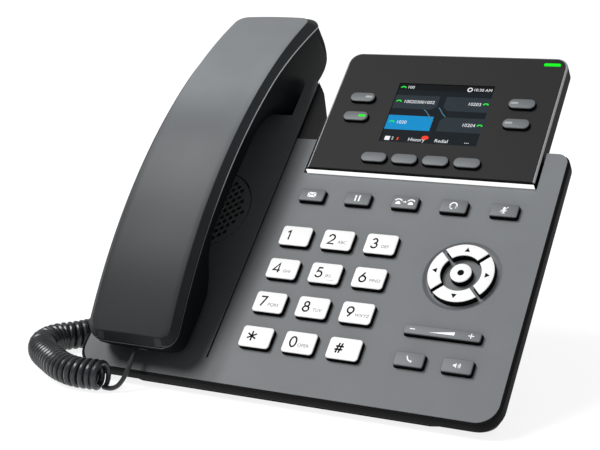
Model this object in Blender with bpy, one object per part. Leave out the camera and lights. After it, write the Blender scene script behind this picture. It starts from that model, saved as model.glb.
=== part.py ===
"""Desk IP telephone: a sloping body on a rear stand, a handset in its cradle and a curly cord.

Everything on the sloping face is built in face coordinates, in metres: X across, Y up the slope
and Z out of the face, with zero at the middle of the front cover's bottom edge.  The empty "face"
turns and lifts that frame onto the desk, which is the plane Z = 0 of the scene.
"""
import math

import bmesh
import bpy
from mathutils import Vector

# ---------------------------------------------------------------- body
FACE_TILT = math.radians(45.0)
BODY_WIDTH = 0.2025
COVER_HEIGHT = 0.1378
COVER_THICK = 0.0025
COVER_CORNER = 0.0095
EAR_CORNER = 0.0050
TOWER_MARGIN = 0.0081          # the cradle tower beside the handset, on the right
TOWER_TOP = 0.1759
TOWER_CORNER = 0.003
GAP = 0.0003                   # between pieces that touch
CASE_RIM = 0.0012              # dark rim around the cover
CASE_RIM_DEPTH = 0.0052
CASE_BOTTOM_DEPTH = 0.0067     # where the front wall meets the desk flat
CASE_DEPTH = 0.0260
CASE_TAPER = 0.0100            # how far the back is drawn in from the rim
CASE_WALL = 0.0022
GROOVE_WIDTH = 0.0007
GROOVE_DEPTH = 0.0006
GROOVE_START = 0.0115
DESK_BLOCK = 0.1               # height of the helper that cuts a face parallel to the desk
HUMP_MARGIN = 0.0150           # the case's hump is this much narrower than the display, each side
HUMP_TOP_MARGIN = 0.0090
HUMP_OVERLAP = 0.0100          # how far the hump reaches into the case
HUMP_EDGE = 0.0040
HUMP_HOLLOW_LEAD = 0.0060
HUMP_WALL = 0.00352
HOLLOW_EASE = 0.0010           # the hollow is drawn in this much less than the outside
PASSAGE_ABOVE = 0.0150         # the rim is cut down this far above the cover's edge
FOOT_THICK = 0.0015
FOOT_DEPTH = 0.0100
FOOT_CORNER = 0.0040
FRONT_FOOT_WIDTH = 0.1500
FRONT_FOOT_PLACE = 0.0060      # from the case's lower front edge, along both face axes
STAND_FOOT_WIDTH = 0.0900

# ---------------------------------------------------------------- keys
KEY_GAP = 0.00035              # clearance of a cap in its opening
KEY_TRAVEL = 0.0010
KEY_PROUD = 0.0025
KEY_EDGE = 0.0004              # softened edge of a cap
ROUND_END_EASE = 0.0001        # keeps the two arcs of a round end apart
FLANGE_EXTRA = 0.0009
FLANGE_THICK = 0.0010
DIAL_CENTRE = (0.00655, 0.0606)
DIAL_PITCH = (0.02154, 0.01838)
DIAL_SIZE = (0.0152, 0.0106)
DIAL_CORNER = 0.0016
FUNCTION_CENTRE = (0.0325, 0.1030)
FUNCTION_PITCH = 0.0237
FUNCTION_SIZE = (0.0128, 0.0069)
FUNCTION_CORNER = 0.0010
PAD_CENTRE = (0.0691, 0.0682)  # navigation ring; the keys below it share its X
PAD_OUTER = 0.0149
PAD_INNER = 0.0092
PAD_SPOKE = 0.0018
PAD_DISH = 0.0178
PAD_DISH_DEPTH = 0.0006
SELECT_RADIUS = 0.0048
ROCKER_Y = 0.0377
ROCKER_SIZE = (0.0346, 0.0047)
ROCKER_PIVOT_DEPTH = 0.0015
ROCKER_SLACK = 0.0006          # its flange hangs lower, so that its ends can tilt
ROCKER_FLANGE = 0.0006
CALL_Y = 0.0231
CALL_OFFSET = 0.0107
CALL_SIZE = (0.0134, 0.0068)

# ---------------------------------------------------------------- display
DISPLAY_CENTRE_X = 0.03325
DISPLAY_BOTTOM = 0.1182
DISPLAY_WIDTH = 0.1133
DISPLAY_HEIGHT = 0.0750
DISPLAY_CORNER = 0.0065
DISPLAY_LOW_CORNER = 0.0009
DISPLAY_PROUD = 0.0025
DISPLAY_THICK = 0.0090
DISPLAY_WALL = 0.0012
DISPLAY_CLEAR = 0.0010         # to the notch in the cover
DISPLAY_FLOOR = 0.0015
DISPLAY_EDGE = 0.0006
DISPLAY_RIM_DROP = 0.0002      # the tray's edge lies this much below the bezel
DISPLAY_BACK_EDGE = 0.0010
BEZEL_THICK = 0.0015
SCREEN_CENTRE_Y = 0.1557
SCREEN_SIZE = (0.04896, 0.03672)
PANEL_MARGIN = (0.0055, 0.0045)
PANEL_THICK = 0.0032
LINE_KEY_SIZE = (0.0128, 0.0054)
LINE_KEY_OFFSET = 0.04055
LINE_KEY_ROWS = {"upper": 0.1628, "lower": 0.1508}
SOFT_KEY_Y = 0.1265
SOFT_KEY_PITCH = 0.0155
CAPSULE_PROUD = 0.0018
LAMP_SIZE = (0.0081, 0.0016)
LAMP_OFFSET = (0.0489, 0.0705)  # from the display's bottom middle
LAMP_DEPTH = 0.0010
LAMP_PROUD = 0.0002
TRIM_HEIGHT = 0.0013
TRIM_INSET = 0.0006
TRIM_CORNER = 0.0003
TRIM_DEPTH = 0.0012
TRIM_DROP = 0.0001

# ---------------------------------------------------------------- cradle and loudspeaker
CRADLE_X = -0.0690
GRILLE_CENTRE_Y = 0.0916
GRILLE_RADIUS = 0.0232
GRILLE_THICK = 0.0020
GRILLE_DROP = 0.0002           # below the cover's face
GRILLE_HOLE = 0.00105
GRILLE_PITCH = (0.0024, 0.0041)
GRILLE_FIELD = 0.0196
SPEAKER_RADIUS = 0.0200
SPEAKER_DEPTH = 0.0130
SPEAKER_RIM = 0.0020
SPEAKER_MAGNET_RADIUS = 0.0105
SPEAKER_CONE_DEPTH = 0.0070
POCKET_START = 0.1572
POCKET_CLEAR = 0.0009
POCKET_WALL = 0.0020
POCKET_TOP = 0.0100            # its helper solid reaches this far over the cover
POCKET_LEAD = 0.0091           # its front wall leans forwards by this much
POCKET_OVERRUN = 0.0100        # and it runs this far past the tower's top
WELL_LEAD = (0.0060, 0.0035)   # front of the walls round it, at the cover and at the floor
HOOK_Y = 0.0380
HOOK_SIZE = (0.0080, 0.0050)
HOOK_RISE = 0.0040
HOOK_FLANGE = 0.0012
HOOK_FLANGE_EXTRA = 0.0008
HOOK_CORNER = 0.0008
TAB_Y = 0.1480
TAB_SIZE = (0.0080, 0.0030)
TAB_PROUD = 0.0022
TAB_ROOT = 0.0060
TAB_NOSE = 0.0006

# ---------------------------------------------------------------- handset
HANDSET_HALF = 0.0240
HANDSET_FACE_HALF = 0.0210
HANDSET_CROWN = 0.0008
HANDSET_SHOULDER = 0.0028      # from the face's edge down to the parting line
HANDSET_WALL = 0.0018
HANDSET_REST = 0.0006          # clearance of the mouthpiece over the cover
ARC_RADIUS = 0.2740
ARC_TOP = (0.1026, 0.0335)
# Side view of the handset, (Y, Z): the underside along the middle, from chin to crown.
UNDERSIDE = [
    (0.0066, 0.0090), (0.0090, 0.0030), (0.0120, HANDSET_REST), (0.0450, HANDSET_REST),
    (0.0500, 0.0040), (0.0570, 0.0115), (0.0660, 0.0155), (0.1220, 0.0155),
    (0.1400, 0.0110), (0.1520, 0.0010), (0.1582, -0.0070), (0.1960, -0.0178),
    (0.2000, -0.0172), (0.2110, 0.0016),
]
# The same for the foot of the upright side wall, where the section starts to round under.
WALL_FOOT = [
    (0.0066, 0.0092), (0.0090, 0.0070), (0.0120, 0.0050), (0.0400, 0.0070),
    (0.0470, 0.0150), (0.0560, 0.0225), (0.0660, 0.0250), (0.1220, 0.0262),
    (0.1350, 0.0240), (0.1418, 0.0190), (0.1526, 0.0075), (0.1582, -0.0020),
    (0.1960, -0.0130), (0.2000, -0.0125), (0.2110, 0.0022),
]
CHIN_Y = 0.0066
CROWN_Y = 0.2110
END_ROUND = 0.0060
BELLY_TURN = (0.0035, 0.0085)  # where the sides round under, in from the widest line
BELLY_SHARE = 0.30
SHELL_LIP = 0.0006             # least height of the side wall
GRIP_SLOPE = (0.75, 0.5)       # shares of the crown's height and of the face's half width
HOLLOW_LID = 0.0030            # the hollow's helper solid reaches this far past the parting line
EAR_FLAT = (0.1582, 0.1960)    # where the ear face starts and ends
RECEIVER_Y = 0.1780
RECEIVER_LIFT = 0.0012
RECEIVER_RADIUS = 0.0150
RECEIVER_THICK = 0.0050
MICROPHONE_Y = 0.0360
MICROPHONE_RADIUS = 0.0048
MICROPHONE_THICK = 0.0040

# ---------------------------------------------------------------- stand and electronics
STAND_WIDTH = 0.1100
STAND_RIB_INSET = 0.0010
STAND_WALL = 0.0030
STAND_TOP_Y = 0.0790
STAND_FLANGE = 0.0190
STAND_FOOT = 0.0220
MAT_THICK = 0.0010
BOARD_THICK = 0.0016
BOARD_MARGIN = 0.0100
BOARD_CORNER = 0.0030
MAT_MARGIN = 0.0020
MAT_CORNER = 0.0040
CHIP_THICK = 0.0018
CHIP_SINK = 0.0006             # how far a chip's helper solid reaches into the board
# Chips under the board: size, and place from the board's middle.
CHIPS = {"processor": (0.0180, 0.0, 0.0), "memory": (0.0120, 0.0300, 0.0100), "codec": (0.0090, -0.0280, 0.0)}
JACK_BLOCK_CENTRE = (0.0330, 0.1020)
JACK_BLOCK_SIZE = (0.0440, 0.0150)
JACK_CLEAR = 0.0025            # between the jack block and the board over it
JACK_WINDOW_MARGIN = (0.0020, 0.0015)
WINDOW_DEPTH = 0.0100          # thickness of the helpers that open the case's back
NETWORK_SOCKET = (0.0120, 0.0085)
NETWORK_SHIFTS = (-0.01335, -0.00035)
NETWORK_BACK = 0.0025          # wall behind a network socket
POWER_SOCKET = 0.0028
POWER_SHIFT = 0.0130
POWER_BACK = 0.0040

# ---------------------------------------------------------------- cord
PLUG_SIZE = (0.0076, 0.0064, 0.0125)
PLUG_CLEAR = 0.0004
CORD_DIAMETER = 0.0025
COIL_DIAMETER = 0.0143
HANDSET_PLUG_Z = 0.0066
BASE_JACK_CENTRE = (-0.0800, 0.0580)
BASE_JACK_WALL = 0.0020
BASE_PLUG_PROUD = 0.0015
CHIN_PLUG_DEPTH = 0.0022
SOCKET_RUN = 0.0400            # length of the helper that opens the chin for the plug
SOCKET_SHIFT = 0.0020
COIL_LIFT = 0.0001

CORNER_STEPS = 2
SMALLEST_CORNER = 0.0004
CASE_FLAT_Z = FOOT_THICK + GAP
TOWER_RIGHT = CRADLE_X + HANDSET_HALF + TOWER_MARGIN


# ---------------------------------------------------------------- frame of the face
def tilt(y, z):
    """Scene Y and Z of a face point before the frame is moved onto the desk."""
    across = y * math.cos(FACE_TILT) - z * math.sin(FACE_TILT)
    return across, y * math.sin(FACE_TILT) + z * math.cos(FACE_TILT)


CASE_OUT = GAP + CASE_RIM      # the case stands this far outside the cover
FACE_Z = CASE_FLAT_Z - tilt(-CASE_OUT, -CASE_BOTTOM_DEPTH)[1]


def arc_height(y):
    """Height of the handset's face over the sloping cover."""
    return ARC_TOP[1] - ARC_RADIUS + math.sqrt(ARC_RADIUS ** 2 - (y - ARC_TOP[0]) ** 2)


def along(points, y):
    """Straight-line interpolation in a side-view list."""
    for (y0, z0), (y1, z1) in zip(points, points[1:]):
        if y <= y1:
            return z0 + (z1 - z0) * (y - y0) / (y1 - y0)
    return points[-1][1]


# Side view of the face: a bevel at the chin, the long arc, and a bevel at the crown.
ARC_STATIONS = (0.0126, 0.0400, 0.0700, 0.1026, 0.1350, 0.1650, 0.1900, 0.2065)
HANDSET_TOP = [(CHIN_Y, 0.0125), (0.0085, 0.0160)]
HANDSET_TOP += [(y, arc_height(y)) for y in ARC_STATIONS]
HANDSET_TOP += [(0.2095, 0.0098), (CROWN_Y, 0.0064)]
crowned = [(y, z + HANDSET_CROWN) for y, z in HANDSET_TOP]
side_outline = [tilt(y, z)[0] for y, z in UNDERSIDE + crowned]
FACE_Y = -(min(side_outline) + max(side_outline)) / 2


def to_desk(y, z):
    """Scene Y and Z of a face point."""
    across, up = tilt(y, z)
    return across + FACE_Y, up + FACE_Z


# ---------------------------------------------------------------- helpers
def clear_scene():
    for old in list(bpy.data.objects):
        bpy.data.objects.remove(old)


def make_material(name, colour, roughness, metallic=0.0):
    material = bpy.data.materials.new(name)
    material.use_nodes = True
    shader = material.node_tree.nodes["Principled BSDF"]
    shader.inputs["Base Color"].default_value = (*colour, 1.0)
    shader.inputs["Roughness"].default_value = roughness
    shader.inputs["Metallic"].default_value = metallic
    return material


def finish_mesh(name, mesh_data, material, location=(0, 0, 0), parent=None):
    """A closed bmesh becomes a named object, shaded smooth between its sharp edges."""
    bmesh.ops.recalc_face_normals(mesh_data, faces=mesh_data.faces)
    mesh = bpy.data.meshes.new(name)
    mesh_data.to_mesh(mesh)
    mesh_data.free()
    mesh.shade_smooth()
    mesh.set_sharp_from_angle(angle=math.radians(35))
    mesh.materials.append(material)
    piece = bpy.data.objects.new(name, mesh)
    bpy.context.scene.collection.objects.link(piece)
    piece.location = location
    piece.parent = parent
    return piece


def loft(loops, mesh_data=None):
    """Closed skin over loops of equal length, with both ends filled."""
    mesh_data = mesh_data or bmesh.new()
    rings = [[mesh_data.verts.new(point) for point in loop] for loop in loops]
    for lower, upper in zip(rings, rings[1:]):
        for i in range(len(lower)):
            j = (i + 1) % len(lower)
            mesh_data.faces.new((lower[i], lower[j], upper[j], upper[i]))
    mesh_data.faces.new(rings[0])
    mesh_data.faces.new(rings[-1])
    return mesh_data


def prism(outline, low, high):
    """An outline in X and Y raised from one height to another."""
    return loft([[(x, y, z) for x, y in outline] for z in (low, high)])


def side_prism(outline, left, right):
    """An outline in Y and Z run across from one X to another."""
    return loft([[(x, y, z) for y, z in outline] for x in (left, right)])


def block(size, centre):
    """A box, given by its size and centre."""
    mesh_data = bmesh.new()
    bmesh.ops.create_cube(mesh_data, size=1.0)
    bmesh.ops.scale(mesh_data, vec=size, verts=mesh_data.verts)
    bmesh.ops.translate(mesh_data, vec=centre, verts=mesh_data.verts)
    return mesh_data


def drum(radius, low, high, sides, centre=(0, 0)):
    """An upright round piece."""
    outline = circle(radius, sides, centre)
    return prism(outline, low, high)


def circle(radius, sides, centre=(0, 0)):
    turn = 2 * math.pi / sides
    return [
        (centre[0] + radius * math.cos(i * turn), centre[1] + radius * math.sin(i * turn))
        for i in range(sides)
    ]


def rounded(width, height, radius, centre=(0, 0), steps=CORNER_STEPS):
    """Outline of a rectangle with round corners, counter-clockwise."""
    points = []
    for quarter, (side_x, side_y) in enumerate(((1, 1), (-1, 1), (-1, -1), (1, -1))):
        corner_x = centre[0] + side_x * (width / 2 - radius)
        corner_y = centre[1] + side_y * (height / 2 - radius)
        for step in range(steps + 1):
            angle = (quarter + step / steps) * math.pi / 2
            points.append((corner_x + radius * math.cos(angle), corner_y + radius * math.sin(angle)))
    return points


def body_outline(grow):
    """Outline of the cover and its cradle tower, moved out by a distance."""
    half = BODY_WIDTH / 2 + grow
    right = TOWER_RIGHT + grow
    large = max(COVER_CORNER + grow, SMALLEST_CORNER)
    ear = max(EAR_CORNER + grow, SMALLEST_CORNER)
    small = max(TOWER_CORNER + grow, SMALLEST_CORNER)
    corners = [
        (-half, -grow, large), (half, -grow, large), (half, COVER_HEIGHT + grow, ear),
        (right, COVER_HEIGHT + grow, 0), (right, TOWER_TOP + grow, small),
        (-half, TOWER_TOP + grow, large),
    ]
    points = []
    for i, (x, y, radius) in enumerate(corners):
        before = Vector(corners[i - 1][:2])
        after = Vector(corners[(i + 1) % len(corners)][:2])
        here = Vector((x, y))
        if radius == 0:
            points.append((x, y))
            continue
        to_before = (before - here).normalized()
        to_after = (after - here).normalized()
        middle = here + radius * (to_before + to_after)
        for step in range(2 * CORNER_STEPS + 1):
            angle = step / (2 * CORNER_STEPS) * math.pi / 2
            point = middle - radius * (math.cos(angle) * to_after + math.sin(angle) * to_before)
            points.append(tuple(point))
    return points


def cutter(name, mesh_data, group=None):
    """A helper solid that only shapes other pieces."""
    piece = finish_mesh(name, mesh_data, materials["dark_plastic"], parent=face)
    bpy.context.scene.collection.objects.unlink(piece)
    (group or cutters).objects.link(piece)
    piece.hide_render = True
    piece.display_type = "WIRE"
    return piece


def combine(piece, other, operation):
    """Boolean with one helper solid."""
    step = piece.modifiers.new(operation.lower(), "BOOLEAN")
    step.object = other
    step.operation = operation
    step.solver = "EXACT"


def combine_group(piece, group, operation):
    """Boolean with every helper solid of a collection."""
    step = piece.modifiers.new(operation.lower(), "BOOLEAN")
    step.operand_type = "COLLECTION"
    step.collection = group
    step.operation = operation
    step.solver = "EXACT"


def cutter_group(name):
    group = bpy.data.collections.new(name)
    bpy.context.scene.collection.children.link(group)
    group.hide_render = True
    return group


clear_scene()
materials = {
    "grey_plastic": make_material("grey_plastic", (0.22, 0.23, 0.24), 0.45),
    "dark_plastic": make_material("dark_plastic", (0.016, 0.018, 0.020), 0.42),
    "bezel_black": make_material("bezel_black", (0.033, 0.033, 0.033), 0.35),
    "white_plastic": make_material("white_plastic", (0.86, 0.86, 0.86), 0.35),
    "screen_glass": make_material("screen_glass", (0.012, 0.022, 0.034), 0.15),
    "bright_trim": make_material("bright_trim", (0.85, 0.85, 0.86), 0.22, 1.0),
    "green_lamp": make_material("green_lamp", (0.02, 0.85, 0.04), 0.30),
    "rubber": make_material("rubber", (0.02, 0.02, 0.02), 0.85),
    "keypad_rubber": make_material("keypad_rubber", (0.45, 0.45, 0.44), 0.80),
    "circuit_board": make_material("circuit_board", (0.01, 0.12, 0.05), 0.50),
    "grey_metal": make_material("grey_metal", (0.42, 0.42, 0.43), 0.38, 1.0),
    "cord_plastic": make_material("cord_plastic", (0.020, 0.022, 0.024), 0.38),
    "clear_plastic": make_material("clear_plastic", (0.55, 0.57, 0.58), 0.15),
}
cutters = cutter_group("cutters")
cover_openings = cutter_group("cover_openings")
bezel_openings = cutter_group("bezel_openings")

face = bpy.data.objects.new("face", None)
bpy.context.scene.collection.objects.link(face)
face.location = (0, FACE_Y, FACE_Z)
face.rotation_euler = (FACE_TILT, 0, 0)


# ---------------------------------------------------------------- keys
def key_loops(outline_at, top, flange_top, flange):
    """Loops of a key: a flange under the cover, then a cap with a softened top edge."""
    levels = (
        (flange_top - flange, FLANGE_EXTRA),
        (flange_top, FLANGE_EXTRA),
        (flange_top, 0.0),
        (top - KEY_EDGE, 0.0),
        (top, -KEY_EDGE),
    )
    return [[(x, y, z) for x, y in outline_at(grow)] for z, grow in levels]


def add_key(
    name, outline_at, centre, openings, material,
    proud=KEY_PROUD, surface=0.0, thick=COVER_THICK, slack=0.0, flange=FLANGE_THICK,
):
    """One key, and the hole that it works in."""
    loops = key_loops(outline_at, surface + proud, surface - thick - GAP - slack, flange)
    key = finish_mesh(name, loft(loops), materials[material], (*centre, 0), face)
    hole = [(x + centre[0], y + centre[1]) for x, y in outline_at(KEY_GAP)]
    cutter(name + "_opening", prism(hole, surface - 2 * thick, surface + thick), openings)
    return key


def box_key(size, corner):
    """Outline of a four-sided key, moved out by a distance."""
    return lambda grow: rounded(
        size[0] + 2 * grow, size[1] + 2 * grow, max(corner + grow, SMALLEST_CORNER / 2)
    )


def capsule_key(size):
    """Outline of a round-ended key, moved out by a distance."""
    return lambda grow: rounded(
        size[0] + 2 * grow, size[1] + 2 * grow, size[1] / 2 + grow - ROUND_END_EASE, steps=3
    )


def build_dial_keys():
    rows = (("1", "2", "3"), ("4", "5", "6"), ("7", "8", "9"), ("star", "0", "hash"))
    for row, marks in enumerate(rows):
        for column, mark in enumerate(marks):
            centre = (
                DIAL_CENTRE[0] + (column - 1) * DIAL_PITCH[0],
                DIAL_CENTRE[1] + (1 - row) * DIAL_PITCH[1],
            )
            shape = box_key(DIAL_SIZE, DIAL_CORNER)
            add_key("dial_key_" + mark, shape, centre, cover_openings, "white_plastic")


def build_function_keys():
    shape = box_key(FUNCTION_SIZE, FUNCTION_CORNER)
    for i, use in enumerate(("message", "hold", "transfer", "headset", "mute")):
        centre = (FUNCTION_CENTRE[0] + (i - 2) * FUNCTION_PITCH, FUNCTION_CENTRE[1])
        add_key("function_key_" + use, shape, centre, cover_openings, "grey_plastic")
    shape = box_key(CALL_SIZE, FUNCTION_CORNER)
    for use, side in (("send_key", -1), ("speaker_key", 1)):
        centre = (PAD_CENTRE[0] + side * CALL_OFFSET, CALL_Y)
        add_key(use, shape, centre, cover_openings, "grey_plastic")


def build_volume_rocker():
    """The rocker turns about a line under its middle, so its origin is put on that line."""
    shape = box_key(ROCKER_SIZE, FUNCTION_CORNER)
    centre = (PAD_CENTRE[0], ROCKER_Y)
    rocker = add_key(
        "volume_rocker", shape, centre, cover_openings, "grey_plastic",
        slack=ROCKER_SLACK, flange=ROCKER_FLANGE,
    )
    for vertex in rocker.data.vertices:
        vertex.co.z += ROCKER_PIVOT_DEPTH
    rocker.location.z = -ROCKER_PIVOT_DEPTH


def sector_outline(grow, side_grow, turn):
    """Quarter of the navigation ring with parallel-sided gaps along the diagonals."""
    outer = PAD_OUTER + grow
    inner = PAD_INNER - grow
    half_gap = PAD_SPOKE / 2 - side_grow
    points = []
    for radius, steps, way in ((outer, 6, 1), (inner, 4, -1)):
        reach = math.pi / 4 - math.asin(half_gap / radius)
        for step in range(steps + 1):
            angle = turn + way * reach * (2 * step / steps - 1)
            points.append((radius * math.cos(angle), radius * math.sin(angle)))
    return points


def build_navigation():
    for i, way in enumerate(("right", "up", "left", "down")):
        turn = i * math.pi / 2

        def shape(grow, turn=turn):
            sideways = grow if grow < FLANGE_EXTRA else 0.0
            return sector_outline(grow, sideways, turn)

        add_key("nav_key_" + way, shape, PAD_CENTRE, cover_openings, "white_plastic")
    add_key(
        "select_key",
        lambda grow: circle(SELECT_RADIUS + grow, 16),
        PAD_CENTRE,
        cover_openings,
        "white_plastic",
    )


def build_display_keys():
    shape = capsule_key(LINE_KEY_SIZE)
    placed = {}
    for side, way in (("left", -1), ("right", 1)):
        for row, height in LINE_KEY_ROWS.items():
            placed[f"line_key_{side}_{row}"] = (DISPLAY_CENTRE_X + way * LINE_KEY_OFFSET, height)
    for i in range(4):
        placed[f"soft_key_{i + 1}"] = (DISPLAY_CENTRE_X + (i - 1.5) * SOFT_KEY_PITCH, SOFT_KEY_Y)
    for name, centre in placed.items():
        add_key(
            name, shape, centre, bezel_openings, "grey_plastic",
            proud=CAPSULE_PROUD, surface=DISPLAY_PROUD, thick=BEZEL_THICK,
        )


# ---------------------------------------------------------------- cover and case
def pocket_outline(drop):
    """Side view of the recess that takes the ear end, open at the tower's top."""
    ear_slope = (along(UNDERSIDE, EAR_FLAT[1]) - along(UNDERSIDE, EAR_FLAT[0])) / (
        EAR_FLAT[1] - EAR_FLAT[0]
    )
    start = POCKET_START - POCKET_CLEAR
    far = TOWER_TOP + POCKET_OVERRUN
    foot = along(UNDERSIDE, EAR_FLAT[0]) - drop
    return [
        (start - POCKET_LEAD, POCKET_TOP), (start, foot),
        (far, foot + ear_slope * (far - start)), (far, POCKET_TOP),
    ]


def well_outline(grow):
    """Side view of the walls round that recess, moved out by a distance."""
    (_, low), (far, far_low) = pocket_outline(POCKET_CLEAR + POCKET_WALL + grow)[1:3]
    end = TOWER_TOP - GAP + grow
    end_low = low + (far_low - low) * (end - POCKET_START) / (far - POCKET_START)
    return [
        (POCKET_START - WELL_LEAD[0] - grow, -COVER_THICK / 2), (POCKET_START - WELL_LEAD[1] - grow, low),
        (end, end_low), (end, -COVER_THICK / 2),
    ]


def across_cradle(outline, margin):
    """A side view run across under the handset, with a margin on both sides of it."""
    half = HANDSET_HALF + margin
    return side_prism(outline, CRADLE_X - half, CRADLE_X + half)


def build_front_cover():
    cover = finish_mesh(
        "front_cover", prism(body_outline(0), -COVER_THICK, 0), materials["grey_plastic"], parent=face
    )
    well = across_cradle(well_outline(0), POCKET_CLEAR + POCKET_WALL)
    combine(cover, cutter("pocket_well", well), "UNION")
    cutter("ear_pocket", across_cradle(pocket_outline(POCKET_CLEAR), POCKET_CLEAR), cover_openings)
    notch_half = DISPLAY_WIDTH / 2 + DISPLAY_CLEAR
    notch_low = DISPLAY_BOTTOM - 2 * GAP - TRIM_HEIGHT
    notch_high = COVER_HEIGHT + COVER_THICK
    notch = block(
        (2 * notch_half, notch_high - notch_low, 4 * COVER_THICK),
        (DISPLAY_CENTRE_X, (notch_high + notch_low) / 2, 0),
    )
    cutter("display_notch", notch, cover_openings)
    groove = block(
        (GROOVE_WIDTH, COVER_HEIGHT - GROOVE_START, 2 * GROOVE_DEPTH),
        (TOWER_RIGHT + GROOVE_WIDTH, (COVER_HEIGHT + GROOVE_START) / 2, 0),
    )
    cutter("cradle_groove", groove, cover_openings)
    dish = drum(PAD_DISH, -PAD_DISH_DEPTH, COVER_THICK, 32, PAD_CENTRE)
    cutter("navigation_dish", dish, cover_openings)
    grille_hole = drum(GRILLE_RADIUS, -2 * COVER_THICK, COVER_THICK, 32, (CRADLE_X, GRILLE_CENTRE_Y))
    cutter("grille_hole", grille_hole, cover_openings)
    for name, centre_y, size in (("hook_hole", HOOK_Y, HOOK_SIZE), ("tab_hole", TAB_Y, TAB_SIZE)):
        hole = block(
            (size[0] + 2 * GAP, size[1] + 2 * GAP, 4 * COVER_THICK), (CRADLE_X, centre_y, 0)
        )
        cutter(name, hole, cover_openings)
    combine_group(cover, cover_openings, "DIFFERENCE")


def tapered_body(grow, rim_depth, depth, taper, top):
    """The case's outer or inner solid: a straight rim, then walls drawn in towards the back."""
    loops = []
    for z, inset in ((top, 0), (-rim_depth, 0), (-depth, taper)):
        outline = body_outline(grow - inset)
        loops.append([(x, y, z) for x, y in outline])
    return loft(loops)


def desk_block(name, top):
    """Helper solid that fills everything below one height over the desk."""
    below = cutter(name, block((2 * BODY_WIDTH, 2 * BODY_WIDTH, DESK_BLOCK), (0, 0, 0)))
    below.parent = None
    below.location = (0, FACE_Y, top - DESK_BLOCK / 2)
    return below


def build_rear_case():
    case = finish_mesh(
        "rear_case",
        tapered_body(CASE_OUT, CASE_RIM_DEPTH, CASE_DEPTH, CASE_TAPER, -GAP),
        materials["dark_plastic"],
        parent=face,
    )
    # The hump behind the display carries it.
    hump_low = COVER_HEIGHT - HUMP_OVERLAP
    hump_high = DISPLAY_BOTTOM + DISPLAY_HEIGHT - HUMP_TOP_MARGIN
    back_of_display = DISPLAY_PROUD - DISPLAY_THICK - GAP
    hump_foot = -CASE_DEPTH + HUMP_EDGE
    hump = [
        (hump_low, back_of_display), (hump_high, back_of_display),
        (hump_high, back_of_display - HUMP_EDGE), (hump_low, hump_foot),
    ]
    left = DISPLAY_CENTRE_X - DISPLAY_WIDTH / 2 + HUMP_MARGIN
    right = DISPLAY_CENTRE_X + DISPLAY_WIDTH / 2 - HUMP_MARGIN
    combine(case, cutter("case_hump", side_prism(hump, left, right)), "UNION")
    hollow = tapered_body(
        CASE_OUT - CASE_WALL, CASE_RIM_DEPTH, CASE_DEPTH - CASE_WALL, CASE_TAPER - HOLLOW_EASE, CASE_DEPTH
    )
    room = cutter("case_hollow", hollow)
    combine(room, desk_block("case_floor", CASE_FLAT_Z + CASE_WALL), "DIFFERENCE")
    combine(case, room, "DIFFERENCE")
    seat = prism(body_outline(GAP), -COVER_THICK - GAP, COVER_THICK)
    combine(case, cutter("cover_seat", seat), "DIFFERENCE")
    hollow_low = hump_low - HUMP_HOLLOW_LEAD
    hollow_high = hump_high - CASE_WALL
    hollow_top = back_of_display + HUMP_OVERLAP
    hump_hollow = [
        (hollow_low, hollow_top), (hollow_high, hollow_top), (hollow_high, back_of_display - HUMP_EDGE / 2),
        (hollow_low, hump_foot + HUMP_WALL),
    ]
    hump_room = side_prism(hump_hollow, left + CASE_WALL, right - CASE_WALL)
    combine(case, cutter("hump_hollow", hump_room), "DIFFERENCE")
    # The display's lower half stands inside the rim, so the rim is cut down there.
    passage_half = DISPLAY_WIDTH / 2 + DISPLAY_CLEAR
    passage_low = DISPLAY_BOTTOM - TRIM_HEIGHT - 2 * GAP
    passage_high = COVER_HEIGHT + PASSAGE_ABOVE
    passage = block(
        (2 * passage_half, passage_high - passage_low, 2 * CASE_DEPTH),
        (DISPLAY_CENTRE_X, (passage_low + passage_high) / 2, back_of_display + CASE_DEPTH),
    )
    combine(case, cutter("display_passage", passage), "DIFFERENCE")
    well_margin = POCKET_CLEAR + POCKET_WALL + GAP
    passages = {
        "pocket_passage": across_cradle(pocket_outline(well_margin), well_margin),
        "well_passage": across_cradle(well_outline(GAP), well_margin),
        "ear_passage": across_cradle(pocket_outline(POCKET_CLEAR), POCKET_CLEAR),
    }
    for name, shape in passages.items():
        combine(case, cutter(name, shape), "DIFFERENCE")
    # A flat parallel to the desk under the front edge.
    combine(case, desk_block("desk_flat", CASE_FLAT_Z), "DIFFERENCE")
    windows = {
        "socket_window": (
            JACK_BLOCK_SIZE[0] - 2 * JACK_WINDOW_MARGIN[0],
            JACK_BLOCK_SIZE[1] - 2 * JACK_WINDOW_MARGIN[1],
            *JACK_BLOCK_CENTRE,
        ),
        "cord_window": (PLUG_SIZE[0] + 4 * PLUG_CLEAR, PLUG_SIZE[1] + 4 * PLUG_CLEAR, *BASE_JACK_CENTRE),
    }
    for name, (width, height, x, y) in windows.items():
        window = block((width, height, WINDOW_DEPTH), (x, y, -CASE_DEPTH))
        combine(case, cutter(name, window), "DIFFERENCE")


def board_height():
    """Height of the circuit board's upper face, under the keys' full travel and the rubber mat."""
    flange_low = -COVER_THICK - GAP - FLANGE_THICK
    return flange_low - KEY_TRAVEL - GAP - MAT_THICK - GAP


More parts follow.
